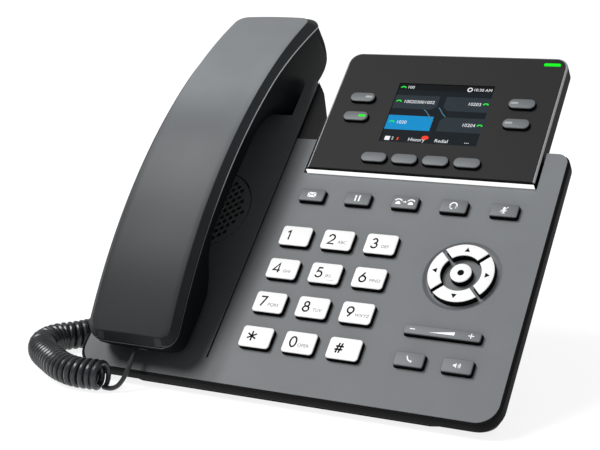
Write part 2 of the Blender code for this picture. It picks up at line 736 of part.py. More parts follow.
def build_stand_and_feet():
    foot_y = to_desk(FRONT_FOOT_PLACE, -CASE_BOTTOM_DEPTH - FRONT_FOOT_PLACE)[0]
    finish_mesh(
        "front_foot",
        prism(rounded(FRONT_FOOT_WIDTH, FOOT_DEPTH, FOOT_CORNER, (0, foot_y)), 0, FOOT_THICK),
        materials["rubber"],
    )
    back = -CASE_DEPTH - GAP
    sole = CASE_FLAT_Z
    reach = (sole - FACE_Z - STAND_TOP_Y * math.sin(FACE_TILT)) / math.cos(FACE_TILT)
    heel = to_desk(STAND_TOP_Y, reach)[0]
    inner_y = STAND_TOP_Y - STAND_WALL
    inner_reach = (sole + STAND_WALL - FACE_Z - inner_y * math.sin(FACE_TILT)) / math.cos(FACE_TILT)
    profile = [
        to_desk(STAND_TOP_Y, back), (heel, sole), (heel - STAND_FOOT, sole),
        (heel - STAND_FOOT, sole + STAND_WALL), to_desk(inner_y, inner_reach),
        to_desk(inner_y, back - STAND_WALL), to_desk(STAND_TOP_Y - STAND_FLANGE, back - STAND_WALL),
        to_desk(STAND_TOP_Y - STAND_FLANGE, back),
    ]
    stand = finish_mesh(
        "stand", side_prism(profile, -STAND_WIDTH / 2, STAND_WIDTH / 2), materials["dark_plastic"]
    )
    rib_high = back - STAND_WALL + STAND_RIB_INSET
    rib = [
        to_desk(inner_y + STAND_RIB_INSET, rib_high),
        to_desk(inner_y + STAND_RIB_INSET, back - 2 * STAND_FLANGE),
        to_desk(STAND_TOP_Y - STAND_FLANGE + 2 * STAND_RIB_INSET, rib_high),
    ]
    for side in (-1, 1):
        outer = side * (STAND_WIDTH / 2 - STAND_RIB_INSET)
        inner = outer - side * STAND_WALL
        helper = cutter(f"stand_rib_{side}", side_prism(rib, min(outer, inner), max(outer, inner)))
        helper.parent = None
        combine(stand, helper, "UNION")
    stand_foot = rounded(STAND_FOOT_WIDTH, FOOT_DEPTH, FOOT_CORNER, (0, heel - STAND_FOOT / 2))
    finish_mesh("stand_foot", prism(stand_foot, 0, FOOT_THICK), materials["rubber"])


def build_electronics():
    """The rubber mat under the keys and the circuit board with its chips."""
    left = TOWER_RIGHT + BOARD_MARGIN / 2
    right = BODY_WIDTH / 2 - BOARD_MARGIN
    top = DISPLAY_BOTTOM - BOARD_MARGIN / 2
    centre = ((left + right) / 2, (top + BOARD_MARGIN) / 2)
    size = (right - left, top - BOARD_MARGIN)
    board_high = board_height()
    mat_low = board_high + GAP
    mat = rounded(size[0] - 2 * MAT_MARGIN, size[1] - 2 * MAT_MARGIN, MAT_CORNER, centre)
    finish_mesh(
        "keypad_mat", prism(mat, mat_low, mat_low + MAT_THICK), materials["keypad_rubber"], parent=face
    )
    board = finish_mesh(
        "main_board",
        prism(rounded(*size, BOARD_CORNER, centre), board_high - BOARD_THICK, board_high),
        materials["circuit_board"],
        parent=face,
    )
    chip_height = CHIP_THICK + CHIP_SINK
    chip_z = board_high - BOARD_THICK + CHIP_SINK - chip_height / 2
    for name, (chip_size, offset_x, offset_y) in CHIPS.items():
        spot = (centre[0] + offset_x, centre[1] + offset_y, chip_z)
        combine(board, cutter(name, block((chip_size, chip_size, chip_height), spot)), "UNION")


def build_jacks():
    """The network and power sockets, and the socket of the handset cord."""
    inside = -CASE_DEPTH + CASE_WALL + GAP
    deep = board_height() - BOARD_THICK - JACK_CLEAR - inside
    jacks = finish_mesh(
        "network_jacks",
        block((*JACK_BLOCK_SIZE, deep), (*JACK_BLOCK_CENTRE, inside + deep / 2)),
        materials["grey_metal"],
        parent=face,
    )
    for i, shift in enumerate(NETWORK_SHIFTS):
        spot = (JACK_BLOCK_CENTRE[0] + shift, JACK_BLOCK_CENTRE[1], inside)
        hole = block((*NETWORK_SOCKET, 2 * (deep - NETWORK_BACK)), spot)
        combine(jacks, cutter(f"network_socket_{i + 1}", hole), "DIFFERENCE")
    power_centre = (JACK_BLOCK_CENTRE[0] + POWER_SHIFT, JACK_BLOCK_CENTRE[1])
    power = drum(POWER_SOCKET, inside - deep, inside + deep - POWER_BACK, 12, power_centre)
    combine(jacks, cutter("power_socket", power), "DIFFERENCE")
    shell = (
        PLUG_SIZE[0] + 2 * PLUG_CLEAR + 2 * BASE_JACK_WALL,
        PLUG_SIZE[1] + 2 * PLUG_CLEAR + 2 * BASE_JACK_WALL,
        PLUG_SIZE[2] + BASE_JACK_WALL,
    )
    cord_jack = finish_mesh(
        "cord_jack",
        block(shell, (*BASE_JACK_CENTRE, inside + shell[2] / 2)),
        materials["dark_plastic"],
        parent=face,
    )
    room = block(
        (PLUG_SIZE[0] + 2 * PLUG_CLEAR, PLUG_SIZE[1] + 2 * PLUG_CLEAR, 2 * (PLUG_SIZE[2] - BASE_JACK_WALL)),
        (*BASE_JACK_CENTRE, inside),
    )
    combine(cord_jack, cutter("cord_jack_room", room), "DIFFERENCE")


# ---------------------------------------------------------------- loudspeaker and cradle pieces
def build_cradle_pieces():
    centre = (CRADLE_X, GRILLE_CENTRE_Y)
    grille = finish_mesh(
        "speaker_grille",
        drum(GRILLE_RADIUS - GAP, -GRILLE_THICK - GRILLE_DROP, -GRILLE_DROP, 32, centre),
        materials["grey_plastic"],
        parent=face,
    )
    holes = bmesh.new()
    columns = int(GRILLE_FIELD / GRILLE_PITCH[0])
    for column in range(-columns, columns + 1):
        shift = (column % 2) * GRILLE_PITCH[1] / 2
        rows = int(GRILLE_FIELD / GRILLE_PITCH[1]) + 1
        for row in range(-rows, rows + 1):
            x = column * GRILLE_PITCH[0]
            y = row * GRILLE_PITCH[1] + shift
            if math.hypot(x, y) > GRILLE_FIELD:
                continue
            outline = circle(GRILLE_HOLE, 6, (centre[0] + x, centre[1] + y))
            loft([[(px, py, z) for px, py in outline] for z in (-2 * GRILLE_THICK, GRILLE_THICK)], holes)
    combine(grille, cutter("grille_holes", holes), "DIFFERENCE")
    top = -GRILLE_THICK - GRILLE_DROP - GAP
    profile = (
        (SPEAKER_RADIUS, top), (SPEAKER_RADIUS, top - SPEAKER_RIM),
        (SPEAKER_MAGNET_RADIUS, top - SPEAKER_CONE_DEPTH), (SPEAKER_MAGNET_RADIUS, top - SPEAKER_DEPTH),
    )
    loops = [[(x, y, z) for x, y in circle(radius, 24, centre)] for radius, z in profile]
    finish_mesh("loudspeaker", loft(loops), materials["grey_metal"], parent=face)
    hook_low = -COVER_THICK - GAP - HOOK_RISE
    hook_top = HANDSET_REST - GAP
    levels = (
        (hook_low - HOOK_FLANGE, HOOK_FLANGE_EXTRA), (hook_low, HOOK_FLANGE_EXTRA),
        (hook_low, 0), (hook_top, 0),
    )
    hook = []
    for z, grow in levels:
        outline = rounded(HOOK_SIZE[0] + 2 * grow, HOOK_SIZE[1] + 2 * grow, HOOK_CORNER + grow)
        hook.append([(x, y, z) for x, y in outline])
    finish_mesh("hook_plunger", loft(hook), materials["dark_plastic"], (CRADLE_X, HOOK_Y, 0), face)
    tab_front = TAB_Y - TAB_SIZE[1] / 2
    tab_back = TAB_Y + TAB_SIZE[1] / 2
    lean = [
        (tab_front, -TAB_ROOT), (tab_back, -TAB_ROOT), (tab_back, TAB_PROUD), (TAB_Y, TAB_PROUD),
        (tab_front, TAB_NOSE),
    ]
    finish_mesh(
        "retainer_tab",
        side_prism(lean, CRADLE_X - TAB_SIZE[0] / 2, CRADLE_X + TAB_SIZE[0] / 2),
        materials["grey_plastic"],
        parent=face,
    )


# ---------------------------------------------------------------- display
def display_outline(grow):
    """Outline of the display, moved out by a distance: round at the top, nearly sharp at the bottom."""
    centre = (DISPLAY_CENTRE_X, DISPLAY_BOTTOM + DISPLAY_HEIGHT / 2)
    size = (DISPLAY_WIDTH + 2 * grow, DISPLAY_HEIGHT + 2 * grow)
    high = rounded(*size, DISPLAY_CORNER + grow, centre, 4)
    low = rounded(*size, max(DISPLAY_LOW_CORNER + grow, SMALLEST_CORNER), centre, 4)
    return high[:len(high) // 2] + low[len(low) // 2:]


def build_display():
    back = DISPLAY_PROUD - DISPLAY_THICK
    rim = DISPLAY_PROUD - DISPLAY_RIM_DROP
    levels = (
        (back, -DISPLAY_BACK_EDGE), (back + DISPLAY_BACK_EDGE, 0),
        (rim - DISPLAY_EDGE, 0), (rim, -DISPLAY_EDGE),
    )
    loops = [[(x, y, z) for x, y in display_outline(grow)] for z, grow in levels]
    housing = finish_mesh("display_housing", loft(loops), materials["dark_plastic"], parent=face)
    hollow = prism(display_outline(-DISPLAY_WALL), back + DISPLAY_FLOOR, DISPLAY_THICK)
    combine(housing, cutter("display_hollow", hollow), "DIFFERENCE")
    bezel = finish_mesh(
        "display_bezel",
        prism(display_outline(-DISPLAY_WALL - GAP), DISPLAY_PROUD - BEZEL_THICK, DISPLAY_PROUD),
        materials["bezel_black"],
        parent=face,
    )
    window = block(
        (*SCREEN_SIZE, DISPLAY_THICK), (DISPLAY_CENTRE_X, SCREEN_CENTRE_Y, DISPLAY_PROUD)
    )
    cutter("screen_window", window, bezel_openings)
    lamp_centre = (DISPLAY_CENTRE_X + LAMP_OFFSET[0], DISPLAY_BOTTOM + LAMP_OFFSET[1])
    slot = rounded(LAMP_SIZE[0] + 2 * GAP, LAMP_SIZE[1] + 2 * GAP, LAMP_SIZE[1] / 2, lamp_centre)
    cutter("lamp_slot", prism(slot, -DISPLAY_THICK, DISPLAY_THICK), bezel_openings)
    combine_group(bezel, bezel_openings, "DIFFERENCE")
    lamp = rounded(*LAMP_SIZE, LAMP_SIZE[1] / 2 - ROUND_END_EASE, lamp_centre)
    finish_mesh(
        "message_lamp",
        prism(lamp, -LAMP_DEPTH, DISPLAY_PROUD + LAMP_PROUD),
        materials["green_lamp"],
        parent=face,
    )
    panel_top = DISPLAY_PROUD - BEZEL_THICK - GAP
    finish_mesh(
        "lcd_panel",
        block(
            (SCREEN_SIZE[0] + 2 * PANEL_MARGIN[0], SCREEN_SIZE[1] + 2 * PANEL_MARGIN[1], PANEL_THICK),
            (DISPLAY_CENTRE_X, SCREEN_CENTRE_Y, panel_top - PANEL_THICK / 2),
        ),
        materials["screen_glass"],
        parent=face,
    )
    trim_centre = (DISPLAY_CENTRE_X, DISPLAY_BOTTOM - GAP - TRIM_HEIGHT / 2)
    trim = rounded(DISPLAY_WIDTH - 2 * TRIM_INSET, TRIM_HEIGHT, TRIM_CORNER, trim_centre)
    finish_mesh(
        "trim_strip",
        prism(trim, -TRIM_DEPTH, DISPLAY_PROUD - TRIM_DROP),
        materials["bright_trim"],
        parent=face,
    )


# ---------------------------------------------------------------- handset
def handset_half(y, half):
    """Half width of the handset, rounded in plan at both ends."""
    inside = min(y - CHIN_Y, CROWN_Y - y, END_ROUND)
    return half - END_ROUND + math.sqrt(END_ROUND ** 2 - (END_ROUND - inside) ** 2)


def lower_section(y, inset, lid):
    """Section of the inner shell: upright sides that round under to a flat belly."""
    half = handset_half(y, HANDSET_HALF) - inset
    under = along(UNDERSIDE, y) + inset
    foot = max(along(WALL_FOOT, y) + inset / 2, under + GAP)
    top = max(along(HANDSET_TOP, y) - HANDSET_SHOULDER - GAP, foot + SHELL_LIP) + lid
    middle = under + BELLY_SHARE * (foot - under)
    right = [(half, top), (half, foot), (half - BELLY_TURN[0], middle), (half - BELLY_TURN[1], under)]
    left = [(-x, z) for x, z in reversed(right)]
    return [(x, y, z) for x, z in right + left]


def upper_section(y):
    """Section of the grip shell: a crowned face with bevelled edges, open underneath."""
    half = handset_half(y, HANDSET_HALF)
    face_half = half - (HANDSET_HALF - HANDSET_FACE_HALF)
    top = along(HANDSET_TOP, y)
    low = max(top - HANDSET_SHOULDER, along(WALL_FOOT, y) + SHELL_LIP + GAP)
    wall = HANDSET_WALL
    outer = [
        (half, low), (face_half, top), (GRIP_SLOPE[1] * face_half, top + GRIP_SLOPE[0] * HANDSET_CROWN),
        (0, top + HANDSET_CROWN),
    ]
    inner = [(0, top + HANDSET_CROWN - wall), (face_half - wall, top - wall), (half - wall, low)]
    outer_left = [(-x, z) for x, z in reversed(outer[:-1])]
    inner_left = [(-x, z) for x, z in reversed(inner[1:])]
    ring = outer + outer_left + inner_left + inner
    return [(x, y, z) for x, z in ring]


def build_handset():
    stations = sorted(
        {y for y, _ in UNDERSIDE} | {y for y, _ in WALL_FOOT} | {y for y, _ in HANDSET_TOP}
    )
    place = (CRADLE_X, 0, 0)
    grip = loft([upper_section(y) for y in stations])
    finish_mesh("handset_grip_shell", grip, materials["grey_plastic"], place, face)
    shell = finish_mesh(
        "handset_inner_shell",
        loft([lower_section(y, 0, 0) for y in stations]),
        materials["dark_plastic"],
        place,
        face,
    )
    inner_stations = [y for y in stations if CHIN_Y + HANDSET_WALL < y < CROWN_Y - HANDSET_WALL]
    hollow = cutter(
        "handset_hollow", loft([lower_section(y, HANDSET_WALL, HOLLOW_LID) for y in inner_stations])
    )
    hollow.location = place
    combine(shell, hollow, "DIFFERENCE")
    socket = block(
        (PLUG_SIZE[0] + 2 * PLUG_CLEAR, SOCKET_RUN, PLUG_SIZE[1] + 2 * PLUG_CLEAR),
        (CRADLE_X, CHIN_Y - SOCKET_SHIFT, HANDSET_PLUG_Z),
    )
    combine(shell, cutter("handset_socket", socket), "DIFFERENCE")
    ear_run = EAR_FLAT[1] - EAR_FLAT[0]
    lean = math.atan2(along(UNDERSIDE, EAR_FLAT[1]) - along(UNDERSIDE, EAR_FLAT[0]), ear_run)
    receiver = finish_mesh(
        "receiver",
        drum(RECEIVER_RADIUS, 0, RECEIVER_THICK, 20),
        materials["grey_metal"],
        (CRADLE_X, RECEIVER_Y, along(UNDERSIDE, RECEIVER_Y) + HANDSET_WALL + RECEIVER_LIFT),
        face,
    )
    receiver.rotation_euler = (lean, 0, 0)
    finish_mesh(
        "microphone",
        drum(MICROPHONE_RADIUS, 0, MICROPHONE_THICK, 14),
        materials["grey_metal"],
        (CRADLE_X, MICROPHONE_Y, HANDSET_REST + HANDSET_WALL + GAP),
        face,
    )


# ---------------------------------------------------------------- cord
# Route of the free cord, in scene metres: handset lead, coil and base lead.
HANDSET_LEAD = [
    (-0.0690, -0.0766, 0.0145), (-0.0690, -0.0809, 0.0102), (-0.0692, -0.0842, 0.0060),
    (-0.0702, -0.0864, 0.0028), (-0.0722, -0.0872, 0.0014), (-0.0750, -0.0869, 0.0013),
    (-0.0776, -0.0867, 0.0013),
]
COIL_ROUTE = [
    (-0.0780, -0.0866), (-0.0919, -0.0875), (-0.1037, -0.0833), (-0.1160, -0.0750),
    (-0.1267, -0.0668), (-0.1337, -0.0580), (-0.1362, -0.0496), (-0.1350, -0.0425),
    (-0.1312, -0.0370), (-0.1275, -0.0305), (-0.1252, -0.0220), (-0.1246, -0.0120),
    (-0.1240, -0.0030),
]
BASE_LEAD = [
    (-0.1240, -0.0027, 0.0014), (-0.1238, 0.0010, 0.0013), (-0.1222, 0.0058, 0.0013),
    (-0.1175, 0.0092, 0.0013), (-0.1110, 0.0098, 0.0016), (-0.1030, 0.0085, 0.0042),
    (-0.0950, 0.0060, 0.0098), (-0.0880, 0.0026, 0.0162), (-0.0826, -0.0024, 0.0210),
    (-0.0803, -0.0078, 0.0247),
]
COIL_HEIGHT = COIL_DIAMETER / 2 + COIL_LIFT


def smooth_route(route, spacing):
    """Points about one spacing apart on a smooth curve through the route points."""
    points = [Vector(point) for point in route]
    padded = [2 * points[0] - points[1], *points, 2 * points[-1] - points[-2]]
    fine = []
    for a, b, c, d in zip(padded, padded[1:], padded[2:], padded[3:]):
        for step in range(12):
            t = step / 12
            fine.append(
                0.5
                * (
                    2 * b
                    + (c - a) * t
                    + (2 * a - 5 * b + 4 * c - d) * t ** 2
                    + (3 * b - 3 * c + d - a) * t ** 3
                )
            )
    fine.append(points[-1])
    lengths = [0.0]
    for a, b in zip(fine, fine[1:]):
        lengths.append(lengths[-1] + (b - a).length)
    count = max(int(round(lengths[-1] / spacing)), 2)
    even = []
    k = 0
    for i in range(count + 1):
        wanted = lengths[-1] * i / count
        while k < len(fine) - 2 and lengths[k + 1] < wanted:
            k += 1
        share = (wanted - lengths[k]) / (lengths[k + 1] - lengths[k])
        even.append(fine[k].lerp(fine[k + 1], min(share, 1.0)))
    return even


def cord_tube(name, route, diameter, spacing, roundness):
    """A round cord as a thick curve with closed ends, and a point every so many diameters."""
    points = smooth_route(route, spacing * diameter)
    curve = bpy.data.curves.new(name, "CURVE")
    curve.dimensions = "3D"
    curve.bevel_depth = diameter / 2
    curve.bevel_resolution = roundness
    curve.use_fill_caps = True
    spline = curve.splines.new("POLY")
    spline.points.add(len(points) - 1)
    for spot, point in zip(spline.points, points):
        spot.co = (*point, 1.0)
    curve.materials.append(materials["cord_plastic"])
    cord = bpy.data.objects.new(name, curve)
    bpy.context.scene.collection.objects.link(cord)
    return cord


def build_cord():
    width, height, length = PLUG_SIZE
    chin = CHIN_Y + CHIN_PLUG_DEPTH
    finish_mesh(
        "handset_plug",
        block((width, length, height), (CRADLE_X, chin + length / 2, HANDSET_PLUG_Z)),
        materials["clear_plastic"],
        parent=face,
    )
    base_end = -CASE_DEPTH - BASE_PLUG_PROUD
    finish_mesh(
        "base_plug",
        block((width, height, length), (*BASE_JACK_CENTRE, base_end + length / 2)),
        materials["clear_plastic"],
        parent=face,
    )
    start = (CRADLE_X, *to_desk(chin - GAP, HANDSET_PLUG_Z))
    cord_tube("handset_lead", [start, *HANDSET_LEAD], CORD_DIAMETER, 2.2, 2)
    coil = [(x, y, COIL_HEIGHT) for x, y in COIL_ROUTE]
    cord_tube("curly_cord", coil, COIL_DIAMETER, 0.6, 4)
    end = (BASE_JACK_CENTRE[0], *to_desk(BASE_JACK_CENTRE[1], base_end - GAP))
    cord_tube("base_lead", [*BASE_LEAD, end], CORD_DIAMETER, 2.2, 2)


def main():
    build_dial_keys()
    build_function_keys()
    build_volume_rocker()
    build_navigation()
    build_display_keys()
    build_front_cover()
    build_rear_case()
    build_stand_and_feet()
    build_electronics()
    build_jacks()
    build_cradle_pieces()
    build_display()
    build_handset()
    build_cord()


main()
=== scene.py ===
# %% [markdown]
# # A desk telephone with a corded handset
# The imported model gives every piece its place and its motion. This lesson dresses it: finer
# moulded shapes, printed legends, a lit screen, a wound cord and the plastics they are made of.
# All sizes are in metres, and the face of the telephone leans back by 45 degrees.

import math

import bmesh
import bpy
from mathutils import Matrix, Vector


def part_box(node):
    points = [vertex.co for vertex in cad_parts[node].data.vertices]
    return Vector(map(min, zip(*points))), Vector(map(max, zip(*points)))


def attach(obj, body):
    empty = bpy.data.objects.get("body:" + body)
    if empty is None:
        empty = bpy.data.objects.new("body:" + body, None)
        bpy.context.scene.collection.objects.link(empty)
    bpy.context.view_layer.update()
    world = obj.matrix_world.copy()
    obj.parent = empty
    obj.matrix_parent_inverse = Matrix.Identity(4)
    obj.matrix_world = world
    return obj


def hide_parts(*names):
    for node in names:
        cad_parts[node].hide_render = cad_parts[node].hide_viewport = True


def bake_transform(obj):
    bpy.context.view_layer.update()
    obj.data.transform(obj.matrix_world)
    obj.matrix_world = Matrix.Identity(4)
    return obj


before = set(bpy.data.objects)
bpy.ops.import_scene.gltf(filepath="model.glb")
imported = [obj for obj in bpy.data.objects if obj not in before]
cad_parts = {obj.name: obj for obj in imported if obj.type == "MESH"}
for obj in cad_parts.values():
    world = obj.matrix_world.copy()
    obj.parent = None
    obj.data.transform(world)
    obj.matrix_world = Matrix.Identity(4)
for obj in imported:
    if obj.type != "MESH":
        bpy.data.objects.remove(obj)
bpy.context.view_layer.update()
MM = 0.001

# %% [markdown]
# ## The face's own axes
# The keys, the display and the handset are all laid out on the sloping face. Working on the slope
# directly would mean sines and cosines everywhere, so one matrix does that job once: X across,
# Y up the slope, Z out of the face, with zero at the middle of the cover's lower edge.

# %% Face matrix
FACE_TILT = math.radians(45)
COVER_THICK = 2.5 * MM
cover_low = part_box("front_cover")[0]
FACE_ORIGIN = Vector((0, cover_low.y, cover_low.z + COVER_THICK * math.sin(FACE_TILT)))
FACE = Matrix.Translation(FACE_ORIGIN) @ Matrix.Rotation(FACE_TILT, 4, "X")


def on_desk(x, y, z):
    """A point of the face as a point over the desk."""
    return FACE @ Vector((x, y, z))


print("face origin", [round(v, 5) for v in FACE_ORIGIN])

# %% [markdown]
# ## The camera
# The telephone is seen from its right front, a little above the desk. A long lens keeps the key
# rows nearly parallel. The camera's three axes are written as unit vectors, which say exactly how
# it is turned.

# %% Camera
eye = bpy.data.cameras.new("eye")
eye.sensor_width = 36.0
eye.lens = 78.87
eye.clip_end = 3000
eye.dof.use_dof = False
camera = bpy.data.objects.new("eye", eye)
bpy.context.scene.collection.objects.link(camera)
EYE_RIGHT = Vector((0.89299, 0.45008, 0.0))
EYE_UP = Vector((-0.08220, 0.16309, 0.98318))
EYE_BACK = Vector((0.44252, -0.87797, 0.18263))
EYE_PLACE = Vector((0.25726, FACE_ORIGIN.y - 0.48151, FACE_ORIGIN.z + 0.17430))
turn = Matrix((EYE_RIGHT, EYE_UP, EYE_BACK)).transposed()
camera.matrix_world = Matrix.Translation(EYE_PLACE) @ turn.to_4x4()
bpy.context.scene.camera = camera
print("camera", [round(v, 3) for v in EYE_PLACE])

# %% [markdown]
# ## Plastics
# Nearly everything here is moulded plastic. Real mouldings are never one flat value: the tool is
# spark-eroded, so the skin has a fine grain, and the gloss wanders a little over a surface. One
# recipe makes them all: noise at two scales moves colour, roughness and a shallow bump.


# %% Plastic recipe
GRAIN_SIZE = 0.35 * MM
GRAIN_DEPTH = 0.02 * MM
GLOSS_DRIFT = 0.05
MOTTLE_SCALE = 45.0
LAMP_SCALE = 300.0


def fresh(name, **values):
    """A new material and its shader; an underscore stands for a space in an input's name."""
    material = bpy.data.materials.new(name)
    material.use_nodes = True
    shader = material.node_tree.nodes["Principled BSDF"]
    for key, value in values.items():
        shader.inputs[key.replace("_", " ")].default_value = value
    return material, shader


def make_node(material, kind, source=None, **values):
    """A node with its inputs set, and its first input fed from another node's output."""
    node = material.node_tree.nodes.new("ShaderNode" + kind)
    for key, value in values.items():
        node.inputs[key.replace("_", " ")].default_value = value
    if source:
        material.node_tree.links.new(source, node.inputs[0])
    return node


def noise(material, **values):
    """A noise that is fixed to the piece it is on."""
    place = make_node(material, "TexCoord")
    return make_node(material, "TexNoise", place.outputs["Object"], **values)


def ramp(material, source, stops):
    """Turns a value into colours."""
    node = make_node(material, "ValToRGB", source)
    while len(node.color_ramp.elements) < len(stops):
        node.color_ramp.elements.new(0.5)
    for element, (position, colour) in zip(node.color_ramp.elements, stops):
        element.position = position
        element.color = (*colour, 1)
    return node


def moulded(name, colour, roughness, grain=0.25, mottle=0.04, coat=0.0, shine=0.5):
    """A moulded plastic: a spark-eroded grain and a slow drift of tone and gloss."""
    material, shader = fresh(name, Coat_Weight=coat, Coat_Roughness=0.12, IOR=1.5, Specular_IOR_Level=shine)
    link = material.node_tree.links.new
    fine = noise(material, Scale=1 / GRAIN_SIZE, Detail=3.0)
    slow = noise(material, Scale=MOTTLE_SCALE, Detail=2.0)
    dark = [c * (1 - mottle) for c in colour]
    pale = [min(c * (1 + mottle), 1) for c in colour]
    tone = ramp(material, slow.outputs["Fac"], [(0.3, dark), (0.7, pale)])
    link(tone.outputs["Color"], shader.inputs["Base Color"])
    gloss = make_node(
        material, "MapRange", fine.outputs["Fac"],
        To_Min=roughness - GLOSS_DRIFT, To_Max=roughness + GLOSS_DRIFT,
    )
    link(gloss.outputs["Result"], shader.inputs["Roughness"])
    bump = make_node(material, "Bump", Strength=grain, Distance=GRAIN_DEPTH)
    link(fine.outputs["Fac"], bump.inputs["Height"])
    link(bump.outputs["Normal"], shader.inputs["Normal"])
    return material


def lit(name, colour, strength, spread=0.08):
    """Something that glows, with a slight unevenness of the lamp behind it; where there is no lamp, its glow
    is painted light.
    """
    base = (*[c * 0.2 for c in colour], 1)
    material, shader = fresh(
        name, Roughness=0.4, Specular_IOR_Level=0.04, Base_Color=base, Emission_Strength=strength
    )
    uneven = noise(material, Scale=LAMP_SCALE)
    tone = ramp(material, uneven.outputs["Fac"], [(0.0, [c * (1 - spread) for c in colour]), (1.0, colour)])
    material.node_tree.links.new(tone.outputs["Color"], shader.inputs["Emission Color"])
    return material


def painted_shade_along(material, axis, stops, level=False):
    """Multiplies a plastic's colour by a painted shade that changes along an axis of the face.

    The stops are millimetres along the axis and a tone. A piece that has been made level, as
    straighten does below, has its points turned back on to the face's axes first.
    """
    link = material.node_tree.links.new
    shader = material.node_tree.nodes["Principled BSDF"]
    plain = shader.inputs["Base Color"].links[0].from_socket
    source = make_node(material, "TexCoord").outputs["Object"]
    if level:
        turn_back = FACE.inverted()
        tilt = make_node(
            material, "Mapping", source, Location=turn_back.translation, Rotation=turn_back.to_euler()
        )
        source = tilt.outputs["Vector"]
    parts = make_node(material, "SeparateXYZ", source)
    first, last = stops[0][0], stops[-1][0]
    along = make_node(material, "MapRange", parts.outputs[axis], From_Min=first * MM, From_Max=last * MM)
    tones = [((place - first) / (last - first), (tone, tone, tone)) for place, tone in stops]
    shade = ramp(material, along.outputs["Result"], tones)
    shade.color_ramp.interpolation = "EASE"
    mix = make_node(material, "Mix")
    mix.data_type = "RGBA"
    mix.blend_type = "MULTIPLY"
    mix.inputs["Factor"].default_value = 1.0
    link(plain, mix.inputs["A"])
    link(shade.outputs["Color"], mix.inputs["B"])
    link(mix.outputs["Result"], shader.inputs["Base Color"])


cover_grey = moulded("cover_grey", (0.166, 0.177, 0.186), 0.50, grain=0.30, shine=0.3)
# Painted shade: the X tones paint the handset's shadow into the cradle and beside the groove, and the Y
# tones paint the cover darker towards its bottom.
painted_shade_along(cover_grey, "X", [(-101, 0.80), (-90, 0.62), (-78, 0.33), (-37, 0.37), (-31, 0.60), (-23, 1.0)])
painted_shade_along(cover_grey, "Y", [(0, 0.78), (70, 0.82), (126, 0.93), (176, 1.0)])
key_grey = moulded("key_grey", (0.117, 0.127, 0.134), 0.42, grain=0.25, shine=0.3)
key_white = moulded("key_white", (0.84, 0.84, 0.84), 0.40, grain=0.15, mottle=0.01, shine=0.3)
# skirt_black also paints shade: the black of the key skirts and of the groove's bottom.
skirt_black = moulded("skirt_black", (0.002, 0.002, 0.002), 0.50, grain=0.15, shine=0.08)
case_black = moulded("case_black", (0.0022, 0.0028, 0.0034), 0.52, grain=0.35, shine=0.03)
rear_black = moulded("rear_black", (0.030, 0.031, 0.032), 0.52, grain=0.35, shine=0.04)
# Painted shade: the case is painted far darker near the cover than on its back.
painted_shade_along(rear_black, "Z", [(-26, 1.0), (-22, 0.8), (-15, 0.11), (0, 0.07)], level=True)
tray_black = moulded("tray_black", (0.030, 0.031, 0.032), 0.52, grain=0.35, shine=0.04)
# Painted shade: the tray is painted far darker near the face than at its hidden back.
painted_shade_along(tray_black, "Z", [(-6.5, 1.0), (-5.6, 0.9), (-5.0, 0.12), (2.5, 0.09)])
stand_black = moulded("stand_black", (0.026, 0.027, 0.028), 0.50, grain=0.35, shine=0.12)
bezel_black = moulded("bezel_black", (0.014, 0.0135, 0.0135), 0.50, grain=0.12, mottle=0.02, shine=0.12)
edge_grey = moulded("edge_grey", (0.30, 0.31, 0.32), 0.35, grain=0.1)
# Painted highlight: the pale plastic of the strip along the tower's edge.
edge_highlight_grey = moulded("edge_highlight_grey", (0.085, 0.090, 0.094), 0.40, grain=0.1, shine=0.3)
legend_black = moulded("legend_black", (0.002, 0.002, 0.002), 0.6, grain=0.05, shine=0.05)
legend_grey = moulded("legend_grey", (0.16, 0.165, 0.17), 0.6, grain=0.05, shine=0.1)
legend_white = moulded("legend_white", (0.90, 0.91, 0.92), 0.5, grain=0.05, mottle=0.01)
cord_black = moulded("cord_black", (0.018, 0.021, 0.024), 0.32, grain=0.12, coat=0.2, shine=0.4)
foot_rubber = moulded("foot_rubber", (0.010, 0.010, 0.010), 0.85, grain=0.5, shine=0.2)
clear_plug = moulded("clear_plug", (0.06, 0.066, 0.07), 0.12, grain=0.05, coat=0.4)
green_lens = lit("green_lens", (0.01, 0.90, 0.02), 0.9)
print("plastics mixed:", len(bpy.data.materials))

# %% [markdown]
# ## Solids from outlines
# A moulding is mostly an outline that rises through a few levels, sometimes a little wider or
# narrower on the way. So the main tool here is a loft: a stack of outlines with equal numbers of
# points, skinned and closed. Rounded edges are just extra levels that follow a quarter circle.


# %% Outlines
def mm(points):
    return [(x * MM, y * MM) for x, y in points]


def rectangle(left, low, right, high):
    return [(left, low), (right, low), (right, high), (left, high)]


def rounded(width, height, radius, centre=(0, 0), steps=8):
    """Points of a rectangle with round corners, counter-clockwise."""
    points = []
    for quarter, (side_x, side_y) in enumerate(((1, 1), (-1, 1), (-1, -1), (1, -1))):
        corner_x = centre[0] + side_x * (width / 2 - radius)
        corner_y = centre[1] + side_y * (height / 2 - radius)
        for step in range(steps + 1):
            angle = (quarter + step / steps) * math.pi / 2
            points.append((corner_x + radius * math.cos(angle), corner_y + radius * math.sin(angle)))
    return points


def circle(radius, sides, centre=(0, 0)):
    turn = 2 * math.pi / sides
    return [
        (centre[0] + radius * math.cos(i * turn), centre[1] + radius * math.sin(i * turn))
        for i in range(sides)
    ]


# %% Lofts and placing
def loft(loops, mesh_data=None):
    """Closed skin over loops of equal length."""
    mesh_data = mesh_data or bmesh.new()
    rings = [[mesh_data.verts.new(point) for point in loop] for loop in loops]
    for lower, upper in zip(rings, rings[1:]):
        for i in range(len(lower)):
            j = (i + 1) % len(lower)
            mesh_data.faces.new((lower[i], lower[j], upper[j], upper[i]))
    mesh_data.faces.new(rings[0][::-1])
    mesh_data.faces.new(rings[-1])
    return mesh_data


